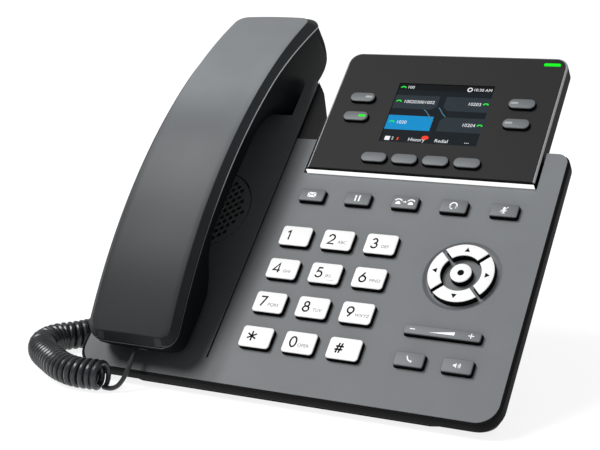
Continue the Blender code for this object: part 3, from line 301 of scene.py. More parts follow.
def stack(outline_at, levels):
    """A loft through heights at which an outline is moved out by a distance."""
    return loft([[(x, y, z) for x, y in outline_at(grow)] for z, grow in levels])


def prism(outline, low, high, mesh_data=None):
    return loft([[(x, y, z) for x, y in outline] for z in (low, high)], mesh_data)


def side_prism(outline, left, right, mesh_data=None):
    """An outline in Y and Z run across in X."""
    return loft([[(x, y, z) for y, z in outline] for x in (left, right)], mesh_data)


def box_mesh(size, centre, mesh_data=None):
    x, y, z = centre
    outline = [
        (x + a * size[0] / 2, y + b * size[1] / 2) for a, b in ((1, 1), (-1, 1), (-1, -1), (1, -1))
    ]
    return prism(outline, z - size[2] / 2, z + size[2] / 2, mesh_data)


def smooth(mesh, angle=35, flat_above=None):
    """Smooth shading, with true flats kept flat so that their bevels don't bend them."""
    mesh.shade_smooth()
    mesh.set_sharp_from_angle(angle=math.radians(angle))
    if flat_above:
        for polygon in mesh.polygons:
            if polygon.area > flat_above:
                polygon.use_smooth = False


def piece(name, mesh_data, *coats, at=(0, 0, 0), world=None, body="phone_body", slot=None, stands_for=()):
    """A finished moulding: named, painted, put in place and fixed to its moving body."""
    bmesh.ops.recalc_face_normals(mesh_data, faces=mesh_data.faces)
    mesh = bpy.data.meshes.new(name)
    mesh_data.to_mesh(mesh)
    mesh_data.free()
    for coat in coats:
        mesh.materials.append(coat)
    smooth(mesh)
    made = bpy.data.objects.new(name, mesh)
    bpy.context.scene.collection.objects.link(made)
    made.matrix_world = (FACE if world is None else world) @ Matrix.Translation(at)
    if body:
        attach(made, body)
    if stands_for:
        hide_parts(*stands_for)
    return made


def carve(target, mesh_data, operation="DIFFERENCE"):
    """Cuts or joins a helper solid, then throws the helper away."""
    bmesh.ops.recalc_face_normals(mesh_data, faces=mesh_data.faces)
    mesh = bpy.data.meshes.new("tool")
    mesh_data.to_mesh(mesh)
    mesh_data.free()
    mesh.materials.append(target.data.materials[0])
    tool = bpy.data.objects.new("tool", mesh)
    bpy.context.scene.collection.objects.link(tool)
    tool.matrix_world = target.matrix_world
    step = target.modifiers.new("carve", "BOOLEAN")
    step.object = tool
    step.operation = operation
    step.solver = "EXACT"
    settle(target)
    if not target.data.polygons:
        raise RuntimeError("the cut left nothing of " + target.name)
    bpy.data.objects.remove(tool)
    bpy.data.meshes.remove(mesh)


def settle(target):
    """Applies the modifiers of a piece."""
    bpy.context.view_layer.update()
    graph = bpy.context.evaluated_depsgraph_get()
    made = bpy.data.meshes.new_from_object(target.evaluated_get(graph))
    old = target.data
    target.modifiers.clear()
    target.data = made
    bpy.data.meshes.remove(old)


def soften(target, width, segments=2, angle=30):
    """Breaks the sharp edges, as every mould does."""
    step = target.modifiers.new("soften", "BEVEL")
    step.width = width
    step.segments = segments
    step.limit_method = "ANGLE"
    step.angle_limit = math.radians(angle)
    step.use_clamp_overlap = True
    settle(target)
    smooth(target.data, flat_above=20 * MM * MM)


def straighten(target):
    """Moves a piece's tilt from its object into its mesh, so that its box is a level one."""
    target.data.transform(target.matrix_world)
    target.matrix_world = Matrix()


print("outline of a key has", len(rounded(1, 1, 0.2)), "points")

# %% [markdown]
# ## The cord
# A handset cord is one flexible lead whose middle is wound on a rod and baked, so that it springs
# back. It is made here as one tube that follows a list of points: a short straight tail from the
# handset, about forty close turns lying on the desk, and a tail to the socket under the body. The
# turns are drawn by a loop that walks along the axis of the coil while it goes round.

# %% Route of the cord
CORD_DIAMETER = 2.2 * MM
COIL_CORD_DIAMETER = 3.0 * MM
COIL_DIAMETER = 14.3 * MM
TURN_PITCH = 3.15 * MM
AXIS_STEP = 0.2 * MM
STEPS_PER_TURN = 18
SWELL_STEPS = 14
CORD_SIDES = 10
HANDSET_LEAD = [
    (-0.0690, -0.0728, 0.0184), (-0.0688, -0.0782, 0.0128), (-0.0692, -0.0822, 0.0076),
    (-0.0708, -0.0852, 0.0036), (-0.0736, -0.0867, 0.0019), (-0.0776, -0.0867, 0.0016),
]
COIL_ROUTE = [
    (-0.0780, -0.0866), (-0.0919, -0.0875), (-0.1037, -0.0833), (-0.1160, -0.0750),
    (-0.1267, -0.0668), (-0.1337, -0.0580), (-0.1362, -0.0496), (-0.1350, -0.0425),
    (-0.1312, -0.0370), (-0.1275, -0.0305), (-0.1252, -0.0220), (-0.1246, -0.0120),
    (-0.1240, -0.0030),
]
BASE_LEAD = [
    (-0.1240, -0.0027, 0.0014), (-0.1238, 0.0010, 0.0013), (-0.1222, 0.0058, 0.0013),
    (-0.1175, 0.0092, 0.0013), (-0.1110, 0.0098, 0.0016), (-0.1030, 0.0085, 0.0042),
    (-0.0950, 0.0060, 0.0098), (-0.0880, 0.0026, 0.0162), (-0.0826, -0.0024, 0.0210),
    (-0.0803, -0.0078, 0.0247),
]
CORD_EXIT = on_desk(-0.0690, 0.0085, 0.0066)
BASE_END = on_desk(-0.0800, 0.0580, -0.0278)


def through(points, spacing):
    """Even steps along a smooth curve through a few points."""
    points = [Vector(point) for point in points]
    padded = [2 * points[0] - points[1], *points, 2 * points[-1] - points[-2]]
    fine = []
    for a, b, c, d in zip(padded, padded[1:], padded[2:], padded[3:]):
        for step in range(24):
            t = step / 24
            curve = 2 * b + (c - a) * t + (2 * a - 5 * b + 4 * c - d) * t ** 2
            fine.append(0.5 * (curve + (3 * b - 3 * c + d - a) * t ** 3))
    fine.append(points[-1])
    lengths = [0.0]
    for a, b in zip(fine, fine[1:]):
        lengths.append(lengths[-1] + (b - a).length)
    count = max(round(lengths[-1] / spacing), 2)
    even = []
    k = 0
    for i in range(count + 1):
        wanted = lengths[-1] * i / count
        while k < len(fine) - 2 and lengths[k + 1] < wanted:
            k += 1
        share = (wanted - lengths[k]) / (lengths[k + 1] - lengths[k])
        even.append(fine[k].lerp(fine[k + 1], min(share, 1.0)))
    return even


def wound(axis_points, radius, pitch):
    """Points of a helix round a curved axis, starting and ending at the bottom."""
    axis = through([(x, y, COIL_DIAMETER / 2 + 0.1 * MM) for x, y in axis_points], AXIS_STEP)
    turns = round(AXIS_STEP * (len(axis) - 1) / pitch)
    steps = turns * STEPS_PER_TURN
    points = []
    for i in range(steps + 1):
        spot = i / steps * (len(axis) - 1)
        k = min(int(spot), len(axis) - 2)
        centre = axis[k].lerp(axis[k + 1], spot - k)
        forward = (axis[min(k + 8, len(axis) - 1)] - axis[max(k - 8, 0)]).normalized()
        side = forward.cross(Vector((0, 0, 1))).normalized()
        angle = 2 * math.pi * i / STEPS_PER_TURN
        round_axis = math.sin(angle) * side - math.cos(angle) * Vector((0, 0, 1))
        points.append(centre + radius * round_axis)
    return points, turns


# %% Tube along a path
def tube(path, radii):
    """A round tube with closed ends, turned along its path without twisting."""
    mesh_data = bmesh.new()
    rings = []
    normal = Vector((0, 0, 1))
    for i, point in enumerate(path):
        forward = (path[min(i + 1, len(path) - 1)] - path[max(i - 1, 0)]).normalized()
        normal = (normal - normal.dot(forward) * forward).normalized()
        across = forward.cross(normal)
        ring = []
        for side in range(CORD_SIDES):
            angle = 2 * math.pi * side / CORD_SIDES
            offset = math.cos(angle) * normal + math.sin(angle) * across
            ring.append(mesh_data.verts.new(point + radii[i] * offset))
        rings.append(ring)
    for a, b in zip(rings, rings[1:]):
        for i in range(CORD_SIDES):
            j = (i + 1) % CORD_SIDES
            mesh_data.faces.new((a[i], a[j], b[j], b[i]))
    mesh_data.faces.new(rings[0][::-1])
    mesh_data.faces.new(rings[-1])
    return mesh_data


coil_points, coil_turns = wound(COIL_ROUTE, (COIL_DIAMETER - COIL_CORD_DIAMETER) / 2, TURN_PITCH)
tail = through([CORD_EXIT, *HANDSET_LEAD[1:-1], coil_points[0]], 1.2 * MM)
base_tail = through([coil_points[-1], *BASE_LEAD[1:], BASE_END], 2 * MM)
cord_path = tail[:-1] + coil_points + base_tail[1:]
cord_radii = []
for i in range(len(cord_path)):
    inward = min(i - len(tail), len(tail) + len(coil_points) - i)
    swell = min(max(inward / SWELL_STEPS, 0.0), 1.0)
    cord_radii.append((CORD_DIAMETER + (COIL_CORD_DIAMETER - CORD_DIAMETER) * swell) / 2)
cord = piece(
    "handset_cord", tube(cord_path, cord_radii), cord_black, world=Matrix(), body=None,
    slot="cord_plastic", stands_for=("handset_lead", "curly_cord", "base_lead"),
)
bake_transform(cord)

# %% [markdown]
# ## Keys
# A key is a cap with an upright skirt that runs down into the cover. The printed top has the key's
# own colour, and the skirt under it is painted black as shade, which is why every key looks
# outlined. The top edge is rounded in four small steps, and the faces at the top get the second
# material.


# %% Key maker
KEY_PROUD = 2.5 * MM
KEY_FOOT = -3.2 * MM
KEY_EDGE = 0.35 * MM
TOP_COLOUR_DEPTH = 0.45 * MM
EDGE_STEPS = 4


def cap_levels(top, bottom, edge):
    """Levels of a cap: an upright skirt, then a rounded shoulder."""
    levels = [(bottom, 0.0), (top - edge - 0.1 * MM, 0.0)]
    for step in range(EDGE_STEPS + 1):
        angle = step / EDGE_STEPS * math.pi / 2
        levels.append((top - edge + edge * math.sin(angle), edge * (math.cos(angle) - 1)))
    return levels


def make_key(name, outline_at, centre, coat, slot, top=KEY_PROUD, bottom=KEY_FOOT, edge=KEY_EDGE):
    """A key with its own colour on top and its skirt painted black as shade, standing for the CAD node of
    the same name.
    """
    key = piece(
        name + "_cap", stack(outline_at, cap_levels(top, bottom, edge)), skirt_black, coat,
        at=(*centre, 0), body=name, slot=slot, stands_for=(name,),
    )
    # Faces near the top keep the key's colour, and the skirt below them is painted black as shade.
    for polygon in key.data.polygons:
        if polygon.center.z > top - TOP_COLOUR_DEPTH:
            polygon.material_index = 1
    return key


def box_key(width, height, corner, centre=(0, 0), steps=8):
    return lambda grow: rounded(width + 2 * grow, height + 2 * grow, corner + grow, centre, steps)


def capsule(width, height):
    return lambda grow: rounded(width + 2 * grow, height + 2 * grow, height / 2 + grow - 0.02 * MM)


# %% [markdown]
# ## Printed legends
# The numerals are thin, even strokes, so they are drawn as pen lines: each numeral is a few
# polylines in a unit box, and a ribbon about three quarters of a millimetre wide follows them. The
# print sits a hair above the cap so that it never flickers into it.


# %% Pen strokes
def arc(cx, cy, rx, ry, start, end, steps=14):
    """Points of an elliptical arc, in degrees."""
    return [
        (
            cx + rx * math.cos(math.radians(start + (end - start) * i / steps)),
            cy + ry * math.sin(math.radians(start + (end - start) * i / steps)),
        )
        for i in range(steps + 1)
    ]


def ribbon(mesh_data, line, width):
    """A flat pen stroke along a line."""
    line = [Vector(point) for point in line]
    left, right = [], []
    for i, point in enumerate(line):
        before = line[max(i - 1, 0)]
        after = line[min(i + 1, len(line) - 1)]
        step_in = (point - before).normalized() if (point - before).length > 0 else None
        step_out = (after - point).normalized() if (after - point).length > 0 else None
        step_in = step_in or step_out
        step_out = step_out or step_in
        direction = (step_in + step_out).normalized()
        normal = Vector((-direction.y, direction.x))
        reach = width / 2 / max(normal.dot(Vector((-step_in.y, step_in.x))), 0.5)
        left.append(mesh_data.verts.new((*(point + normal * reach), 0)))
        right.append(mesh_data.verts.new((*(point - normal * reach), 0)))
    for i in range(len(line) - 1):
        mesh_data.faces.new((right[i], right[i + 1], left[i + 1], left[i]))


def filled(mesh_data, outline):
    """A flat printed area."""
    mesh_data.faces.new([mesh_data.verts.new((x, y, 0)) for x, y in outline])


def drawn(shapes):
    """A picture in millimetres: filled outlines, and lines that come with a pen width."""
    pen = bmesh.new()
    for shape in shapes:
        if isinstance(shape, tuple):
            width, line = shape
            ribbon(pen, mm(line), width * MM)
        else:
            filled(pen, mm(shape))
    return pen


NUMERALS = {
    "0": [arc(0.33, 0.5, 0.30, 0.5, 90, 450, 28)],
    "1": [[(0.10, 0.80), (0.34, 1.0), (0.34, 0.0)]],
    "2": [arc(0.32, 0.69, 0.29, 0.31, 170, -38) + [(0.03, 0.0), (0.66, 0.0)]],
    "3": [arc(0.30, 0.75, 0.23, 0.25, 160, -80) + arc(0.30, 0.27, 0.29, 0.27, 80, -165)],
    "4": [[(0.55, 0.0), (0.55, 1.0), (0.02, 0.26), (0.72, 0.26)]],
    "5": [[(0.58, 1.0), (0.20, 1.0), (0.10, 0.56)] + arc(0.30, 0.32, 0.31, 0.32, 122, -160)],
    "6": [[(0.46, 1.0), (0.10, 0.48)] + arc(0.33, 0.31, 0.30, 0.31, 148, -212, 24)],
    "7": [[(0.04, 1.0), (0.62, 1.0), (0.20, 0.0)]],
    "8": [arc(0.32, 0.76, 0.22, 0.24, -90, 270, 24), arc(0.32, 0.27, 0.29, 0.27, 90, 450, 26)],
    "9": [[(0.20, 0.0), (0.56, 0.52)] + arc(0.33, 0.69, 0.30, 0.31, -32, 328, 24)],
    "star": [
        [(0.50, 0.52), (0.50 + 0.50 * math.cos(a), 0.52 + 0.50 * math.sin(a))]
        for a in [math.radians(90 + 60 * i) for i in range(6)]
    ],
    "hash": [
        [(0.20, 0.0), (0.40, 1.0)], [(0.48, 0.0), (0.68, 1.0)],
        [(0.04, 0.34), (0.80, 0.34)], [(0.09, 0.66), (0.85, 0.66)],
    ],
}
LETTERS = {
    "2": "ABC", "3": "DEF", "4": "GHI", "5": "JKL", "6": "MNO",
    "7": "PQRS", "8": "TUV", "9": "WXYZ", "0": "OPER",
}
PRINT_LIFT = 0.03 * MM
ON_KEY = (0, 0, KEY_PROUD + PRINT_LIFT)


def laid_on(name, mesh, at, parent, coat):
    """Fixes a flat mesh to its key or to the screen."""
    mesh.materials.clear()
    mesh.materials.append(coat)
    made = bpy.data.objects.new(name, mesh)
    bpy.context.scene.collection.objects.link(made)
    made.parent = parent
    made.location = at


def lettering(name, text, size, at, parent, coat, align="LEFT"):
    """Small type from the built-in font."""
    curve = bpy.data.curves.new(name, "FONT")
    curve.body = text
    curve.size = size
    curve.align_x = align
    curve.align_y = "CENTER"
    curve.resolution_u = 3
    holder = bpy.data.objects.new(name, curve)
    bpy.context.scene.collection.objects.link(holder)
    bpy.context.view_layer.update()
    graph = bpy.context.evaluated_depsgraph_get()
    mesh = bpy.data.meshes.new_from_object(holder.evaluated_get(graph))
    bpy.data.objects.remove(holder)
    laid_on(name, mesh, at, parent, coat)


def printed(name, mesh_data, at, parent, coat):
    """A drawn legend, with its face outwards."""
    for one in mesh_data.faces:
        one.normal_update()
        if one.normal.z < 0:
            one.normal_flip()
    mesh = bpy.data.meshes.new(name)
    mesh_data.to_mesh(mesh)
    mesh_data.free()
    laid_on(name, mesh, at, parent, coat)


# %% Dial keys
DIAL_CENTRE = (6.55 * MM, 60.6 * MM)
DIAL_PITCH = (21.54 * MM, 18.38 * MM)
DIAL_SIZE = (15.2 * MM, 10.6 * MM)
DIAL_CORNER = 1.6 * MM
NUMERAL_HEIGHT = 4.95 * MM
LETTER_SIZE = 2.3 * MM
LETTER_DROP = -1.35 * MM
PEN = 0.78 * MM
NUMERAL_START = -4.55
NUMERAL_LEFT = {"1": -4.8, "4": -4.7, "7": -4.95, "9": -4.75, "star": -4.6, "hash": -4.45}
DIAL_MARKS = (("1", "2", "3"), ("4", "5", "6"), ("7", "8", "9"), ("star", "0", "hash"))


def dial_spot(row, column):
    return (
        DIAL_CENTRE[0] + (column - 1) * DIAL_PITCH[0],
        DIAL_CENTRE[1] + (1 - row) * DIAL_PITCH[1],
    )


dial_shape = box_key(*DIAL_SIZE, DIAL_CORNER)
for row, marks in enumerate(DIAL_MARKS):
    for column, mark in enumerate(marks):
        key = make_key("dial_key_" + mark, dial_shape, dial_spot(row, column), key_white, "white_plastic")
        pen = bmesh.new()
        for line in NUMERALS[mark]:
            ribbon(pen, [(x * NUMERAL_HEIGHT, (y - 0.5) * NUMERAL_HEIGHT) for x, y in line], PEN)
        start = NUMERAL_LEFT.get(mark, NUMERAL_START) * MM
        printed("numeral_" + mark, pen, (start, 0.05 * MM, ON_KEY[2]), key, legend_black)
        if mark in LETTERS:
            left = 0.5 * MM if len(LETTERS[mark]) == 3 else -0.5 * MM
            spot = (left, LETTER_DROP, ON_KEY[2])
            lettering("letters_" + mark, LETTERS[mark], LETTER_SIZE, spot, key, legend_grey)
        if mark == "5":
            bump = stack(box_key(3.0 * MM, 0.6 * MM, 0.29 * MM), cap_levels(0.35 * MM, -0.2 * MM, 0.2 * MM))
            ridge = piece("finding_ridge", bump, key_white, body=None)
            ridge.matrix_world = Matrix()
            ridge.parent = key
            ridge.location = (3.4 * MM, -3.4 * MM, KEY_PROUD)
print("dial keys made")

# %% [markdown]
# ## Function keys, call keys and the volume rocker
# These use the same cap in grey, with small white pictures. Each picture is a few filled shapes
# and pen strokes in millimetres round the key's centre. A stroke is written with the width of its
# pen before its points.


# %% Pictures
def small_phone(x, size):
    body = [(-0.9, -1.0), (0.9, -1.0), (0.9, -0.55), (0.35, 0.15), (-0.35, 0.15), (-0.9, -0.55)]
    bow = arc(0, 0, 1.15, 0.75, 8, 172, 10)
    return [
        [(x + a * size, b * size) for a, b in body],
        (0.42 * size, [(a * size + x, 0.25 * size + b * size) for a, b in bow]),
    ]


PICTURES = {
    "message": [
        [(-1.6, 1.1), (1.6, 1.1), (0.0, 0.05)],
        [(-1.75, 0.85), (-0.55, 0.05), (-1.75, -0.95)],
        [(1.75, 0.85), (1.75, -0.95), (0.55, 0.05)],
        [(-1.6, -1.15), (-0.42, -0.05), (0.0, -0.3), (0.42, -0.05), (1.6, -1.15)],
    ],
    "hold": [rectangle(-1.05, -1.35, -0.45, 1.35), rectangle(0.45, -1.35, 1.05, 1.35)],
    "transfer": [
        *small_phone(-2.5, 1.15), *small_phone(2.5, 1.15),
        rectangle(-0.75, -0.15, 0.15, 0.15), [(0.15, -0.5), (0.8, 0.0), (0.15, 0.5)],
    ],
    "headset": [
        (0.5, arc(0, 0.05, 1.35, 1.35, -50, 235, 22)),
        rectangle(-1.5, -0.75, -0.9, 0.25), rectangle(0.9, -0.75, 1.5, 0.25),
        (0.34, [(-1.1, -0.8), (-0.7, -1.3), (-0.1, -1.35)]),
    ],
    "mute": [
        [(x * 0.55, y * 0.95 + 0.35) for x, y in circle(1, 16)],
        (0.26, arc(0, 0.15, 0.95, 0.95, 190, 350, 12)),
        (0.3, [(0, -0.8), (0, -1.35)]), (0.3, [(-0.6, -1.4), (0.6, -1.4)]),
        (0.28, [(-1.3, -0.9), (1.4, 1.3)]),
    ],
    "send_key": [
        (0.5, [(-1.15, 1.35), (-0.75, 0.25), (0.1, -0.75), (1.25, -1.3)]),
        [(-1.5, 1.3), (-0.95, 1.6), (-0.55, 0.75), (-1.1, 0.55)],
        [(0.55, -0.95), (0.8, -0.35), (1.6, -0.85), (1.35, -1.5)],
    ],
    "speaker_key": [
        [(-1.7, -0.45), (-1.1, -0.45), (-0.3, -1.1), (-0.3, 1.1), (-1.1, 0.45), (-1.7, 0.45)],
        *[(0.24, arc(-0.1, 0, radius, radius, -45, 45, 8)) for radius in (0.6, 1.1, 1.6)],
    ],
    "volume_rocker": [
        rectangle(-14.6, -0.2, -12.2, 0.25), [(-5.9, -0.75), (5.6, -0.75), (5.6, 0.85)],
        rectangle(11.7, -0.22, 14.3, 0.22), rectangle(12.78, -1.2, 13.22, 1.2),
    ],
}

# %% Grey keys
FUNCTION_Y = 103.0 * MM
FUNCTION_X = 32.5
FUNCTION_PITCH = 23.7
FUNCTION_PRINT = 1.25
CALL_Y = 23.1 * MM
CALL_APART = 10.7 * MM
GREY_CORNER = 1.0 * MM
PAD_CENTRE = (69.1 * MM, 68.2 * MM)
grey_keys = {}
for i, use in enumerate(("message", "hold", "transfer", "headset", "mute")):
    x = (FUNCTION_X + (i - 2) * FUNCTION_PITCH) * MM
    grey_keys["function_key_" + use] = (x, FUNCTION_Y, 12.8, 6.9)
grey_keys["send_key"] = (PAD_CENTRE[0] - CALL_APART, CALL_Y, 13.4, 6.8)
grey_keys["speaker_key"] = (PAD_CENTRE[0] + CALL_APART, CALL_Y, 13.4, 6.8)
grey_keys["volume_rocker"] = (PAD_CENTRE[0], 37.7 * MM, 34.6, 4.7)
for name, (x, y, width, height) in grey_keys.items():
    key = make_key(name, box_key(width * MM, height * MM, GREY_CORNER), (x, y), key_grey, "grey_plastic")
    pen = drawn(PICTURES[name.removeprefix("function_key_")])
    if "function" in name:
        bmesh.ops.scale(pen, vec=(FUNCTION_PRINT, FUNCTION_PRINT, 1.0), verts=pen.verts)
    printed("picture_" + name, pen, ON_KEY, key, legend_white)
print("grey keys made:", len(grey_keys))

# %% [markdown]
# ## The navigation ring
# Four quarter rings and a round key in the middle lie in a shallow dish. A quarter is an outline of
# two arcs whose straight sides stay parallel to the diagonals, so the gaps keep one width.

# %% Ring keys
RING_OUTER = 14.9 * MM
RING_INNER = 9.2 * MM
RING_GAP = 1.8 * MM
RING_EDGE = 0.25 * MM
SELECT_RADIUS = 4.8 * MM
ARROW = [Vector((13.2 * MM, 0)), Vector((11.0 * MM, 1.25 * MM)), Vector((11.0 * MM, -1.25 * MM))]


def quarter(grow, turn):
    points = []
    for radius, way in ((RING_OUTER + grow, 1), (RING_INNER - grow, -1)):
        reach = math.pi / 4 - math.asin((RING_GAP / 2 - grow) / radius)
        for step in range(17):
            angle = turn + way * reach * (step / 8 - 1)
            points.append((radius * math.cos(angle), radius * math.sin(angle)))
    return points


for i, way in enumerate(("right", "up", "left", "down")):
    turn = i * math.pi / 2
    key = make_key(
        "nav_key_" + way, lambda grow, turn=turn: quarter(grow, turn), PAD_CENTRE, key_white,
        "white_plastic", edge=RING_EDGE,
    )
    pen = bmesh.new()
    filled(pen, [tuple(Matrix.Rotation(turn, 2) @ corner) for corner in ARROW])
    printed("arrow_" + way, pen, ON_KEY, key, legend_black)
select = make_key(
    "select_key", lambda grow: circle(SELECT_RADIUS + grow, 48), PAD_CENTRE, key_white, "white_plastic"
)
printed("select_dot", drawn([circle(1.5, 24)]), ON_KEY, select, legend_black)
print("navigation ring made")

# %% [markdown]
# ## The front cover
# The cover is one moulding: a flat plate with the tower that carries the handset's ear end. It
# starts as an outline raised to its thickness. The openings are cut with many tools at once, the
# large ones first and the key holes last, because that is faster and cleaner than many cuts. Last
# of all the edges are broken by a small bevel.

# %% Cover outline
BODY_HALF = 101.25 * MM
COVER_HEIGHT = 137.8 * MM
COVER_CORNER = 9.5 * MM
EAR_CORNER = 5.0 * MM
TOWER_RIGHT = -36.9 * MM
TOWER_TOP = 175.9 * MM
TOWER_CORNER = 3.0 * MM
CRADLE_X = -69.0 * MM
KEY_CLEAR = 0.35 * MM
LEAST_RADIUS = 0.4 * MM
CORNER_STEPS = 9


def body_outline(grow, far=None):
    """Outline of the cover and its tower, moved out by a distance that may differ at the far edges."""
    far = grow if far is None else far
    large = max(COVER_CORNER + grow, LEAST_RADIUS)
    ear = max(EAR_CORNER + grow, LEAST_RADIUS)
    small = max(TOWER_CORNER + grow, LEAST_RADIUS)
    half = BODY_HALF + grow
    right = TOWER_RIGHT + grow
    corners = [
        (-half, -grow, large), (half, -grow, large), (half, COVER_HEIGHT + far, ear),
        (right, COVER_HEIGHT + far, 0.0), (right, TOWER_TOP + far, small), (-half, TOWER_TOP + far, large),
    ]
    points = []
    for i, (x, y, radius) in enumerate(corners):
        here = Vector((x, y))
        if radius == 0:
            points.append((x, y))
            continue
        to_before = (Vector(corners[i - 1][:2]) - here).normalized()
        to_after = (Vector(corners[(i + 1) % len(corners)][:2]) - here).normalized()
        middle = here + radius * (to_before + to_after)
        for step in range(CORNER_STEPS + 1):
            angle = step / CORNER_STEPS * math.pi / 2
            reach = math.cos(angle) * to_after + math.sin(angle) * to_before
            points.append(tuple(middle - radius * reach))
    return points


# %% Handset side view
def pchip(points):
    """A smooth curve through points that never swings past them."""
    xs = [x for x, _ in points]
    ys = [y for _, y in points]
    steps = [b - a for a, b in zip(xs, xs[1:])]
    slopes = [(b - a) / h for a, b, h in zip(ys, ys[1:], steps)]
    tangents = [slopes[0]]
    for i in range(1, len(xs) - 1):
        before, after = slopes[i - 1], slopes[i]
        if before * after <= 0:
            tangents.append(0.0)
            continue
        w1 = 2 * steps[i] + steps[i - 1]
        w2 = steps[i] + 2 * steps[i - 1]
        tangents.append((w1 + w2) / (w1 / before + w2 / after))
    tangents.append(slopes[-1])

    def at(x):
        if x <= xs[0]:
            return ys[0]
        if x >= xs[-1]:
            return ys[-1]
        k = max(i for i in range(len(xs) - 1) if xs[i] <= x)
        h = steps[k]
        t = (x - xs[k]) / h
        return (
            (2 * t ** 3 - 3 * t ** 2 + 1) * ys[k]
            + (t ** 3 - 2 * t ** 2 + t) * h * tangents[k]
            + (-2 * t ** 3 + 3 * t ** 2) * ys[k + 1]
            + (t ** 3 - t ** 2) * h * tangents[k + 1]
        )

    return at


BACK_RADIUS = 0.274
BACK_TOP = 33.5 * MM
BACK_MIDDLE = 0.1026


def arc_height(y):
    """Height of the handset's back over the cover, a circle arc."""
    return BACK_TOP - BACK_RADIUS + math.sqrt(BACK_RADIUS ** 2 - (y - BACK_MIDDLE) ** 2)


underside = pchip(mm([
    (6.6, 9.0), (9.0, 3.0), (12.0, 0.7), (20.0, 0.6), (42.0, 0.6), (46.5, 1.6), (50.0, 4.2),
    (57.0, 11.0), (66.0, 15.5), (94.0, 16.4), (122.0, 15.7), (140.0, 11.0), (148.0, 5.5),
    (152.4, 1.0), (156.0, -4.5), (158.6, -7.0), (162.0, -8.3), (196.0, -17.8), (200.0, -17.2),
    (204.5, -10.0), (208.0, -3.5), (211.0, 2.0),
]))
wall_foot = pchip(mm([
    (6.6, 9.6), (9.0, 7.4), (12.0, 6.0), (25.0, 5.6), (40.0, 7.2), (47.0, 13.5), (56.0, 21.8),
    (66.0, 24.8), (94.0, 26.4), (122.0, 26.2), (135.0, 23.8), (141.8, 19.2), (152.6, 7.7),
    (158.0, -1.5), (170.0, -6.5), (196.0, -13.6), (200.0, -12.8), (206.0, -4.0), (211.0, 2.6),
]))

# %% Cover
GRILLE_CENTRE = (CRADLE_X, 91.6 * MM)
GRILLE_RADIUS = 23.2 * MM
DISPLAY_X = 33.25 * MM
DISPLAY_BOTTOM = 118.2 * MM
DISPLAY_SIZE = (113.3 * MM, 75.0 * MM)
NOTCH_LOW = DISPLAY_BOTTOM - 0.95 * MM
EAR_HALF = 24.9 * MM
POCKET_START = 156.3 * MM
POCKET_END = 186 * MM
POCKET_FLOOR = -8.03 * MM
POCKET_SLOPE = -0.2857
MID_PLATE = -1.25 * MM
GROOVE_X = TOWER_RIGHT + 0.5 * MM


def pocket_side(drop, end):
    """Side view of the recess for the ear end."""
    foot = POCKET_FLOOR - drop
    heel = foot + POCKET_SLOPE * (end - POCKET_START)
    return [(POCKET_START - 9.1 * MM, 10 * MM), (POCKET_START, foot), (end, heel), (end, 10 * MM)]


def opening(outline, mesh_data):
    """A tool that goes right through the cover."""
    prism(outline, -5 * MM, 5 * MM, mesh_data)


cover = piece(
    "cover_moulding", prism(body_outline(0), -COVER_THICK, 0), cover_grey,
    slot="grey_plastic", stands_for=("front_cover",),
)
well_end = TOWER_TOP - 0.3 * MM
well = pocket_side(2.0 * MM, well_end)
well[0] = (150.3 * MM, MID_PLATE)
well[1] = (152.8 * MM, well[1][1])
well[3] = (well_end, MID_PLATE)
carve(cover, side_prism(well, CRADLE_X - EAR_HALF - 2 * MM, CRADLE_X + EAR_HALF + 2 * MM), "UNION")
openings = bmesh.new()
side_prism(pocket_side(0, POCKET_END), CRADLE_X - EAR_HALF, CRADLE_X + EAR_HALF, openings)
notch_half = DISPLAY_SIZE[0] / 2 + 1.0 * MM
notch_middle = (DISPLAY_X - 0.4 * MM, NOTCH_LOW + 30 * MM)
opening(rounded(2 * notch_half + 0.8 * MM, 60 * MM, 0.3 * MM, notch_middle), openings)
groove_middle = (COVER_HEIGHT + 11.5 * MM) / 2
box_mesh((0.9 * MM, COVER_HEIGHT - 11.5 * MM, 2.8 * MM), (GROOVE_X, groove_middle, 0), openings)
opening(circle(GRILLE_RADIUS, 72, GRILLE_CENTRE), openings)
for y, width, height in ((38.0, 8.6, 5.6), (148.0, 8.6, 3.6)):
    box_mesh((width * MM, height * MM, 10 * MM), (CRADLE_X, y * MM, 0), openings)
carve(cover, openings)
dish_levels = mm([(-0.75, 16.2), (-0.55, 16.9), (0.0, 17.8), (0.5, 18.0)])
carve(cover, stack(lambda radius: circle(radius, 72, PAD_CENTRE), dish_levels))
holes = bmesh.new()
dial_hole = [side + 2 * KEY_CLEAR for side in DIAL_SIZE]
for row in range(4):
    for column in range(3):
        opening(rounded(*dial_hole, DIAL_CORNER + KEY_CLEAR, dial_spot(row, column)), holes)
for x, y, width, height in grey_keys.values():
    size = (width * MM + 2 * KEY_CLEAR, height * MM + 2 * KEY_CLEAR)
    opening(rounded(*size, GREY_CORNER + KEY_CLEAR, (x, y)), holes)
for i in range(4):
    opening([(x + PAD_CENTRE[0], y + PAD_CENTRE[1]) for x, y in quarter(KEY_CLEAR, i * math.pi / 2)], holes)
opening(circle(SELECT_RADIUS + KEY_CLEAR, 48, PAD_CENTRE), holes)
carve(cover, holes)
soften(cover, 0.18 * MM)
# Painted shade: a black sheet at the bottom of the groove stands for the shade inside it.
groove_shadow_sheet = box_mesh((0.86 * MM, COVER_HEIGHT - 12 * MM, 0.2 * MM), (GROOVE_X, groove_middle, MID_PLATE))
piece("groove_shadow_sheet", groove_shadow_sheet, skirt_black, slot="dark_plastic")
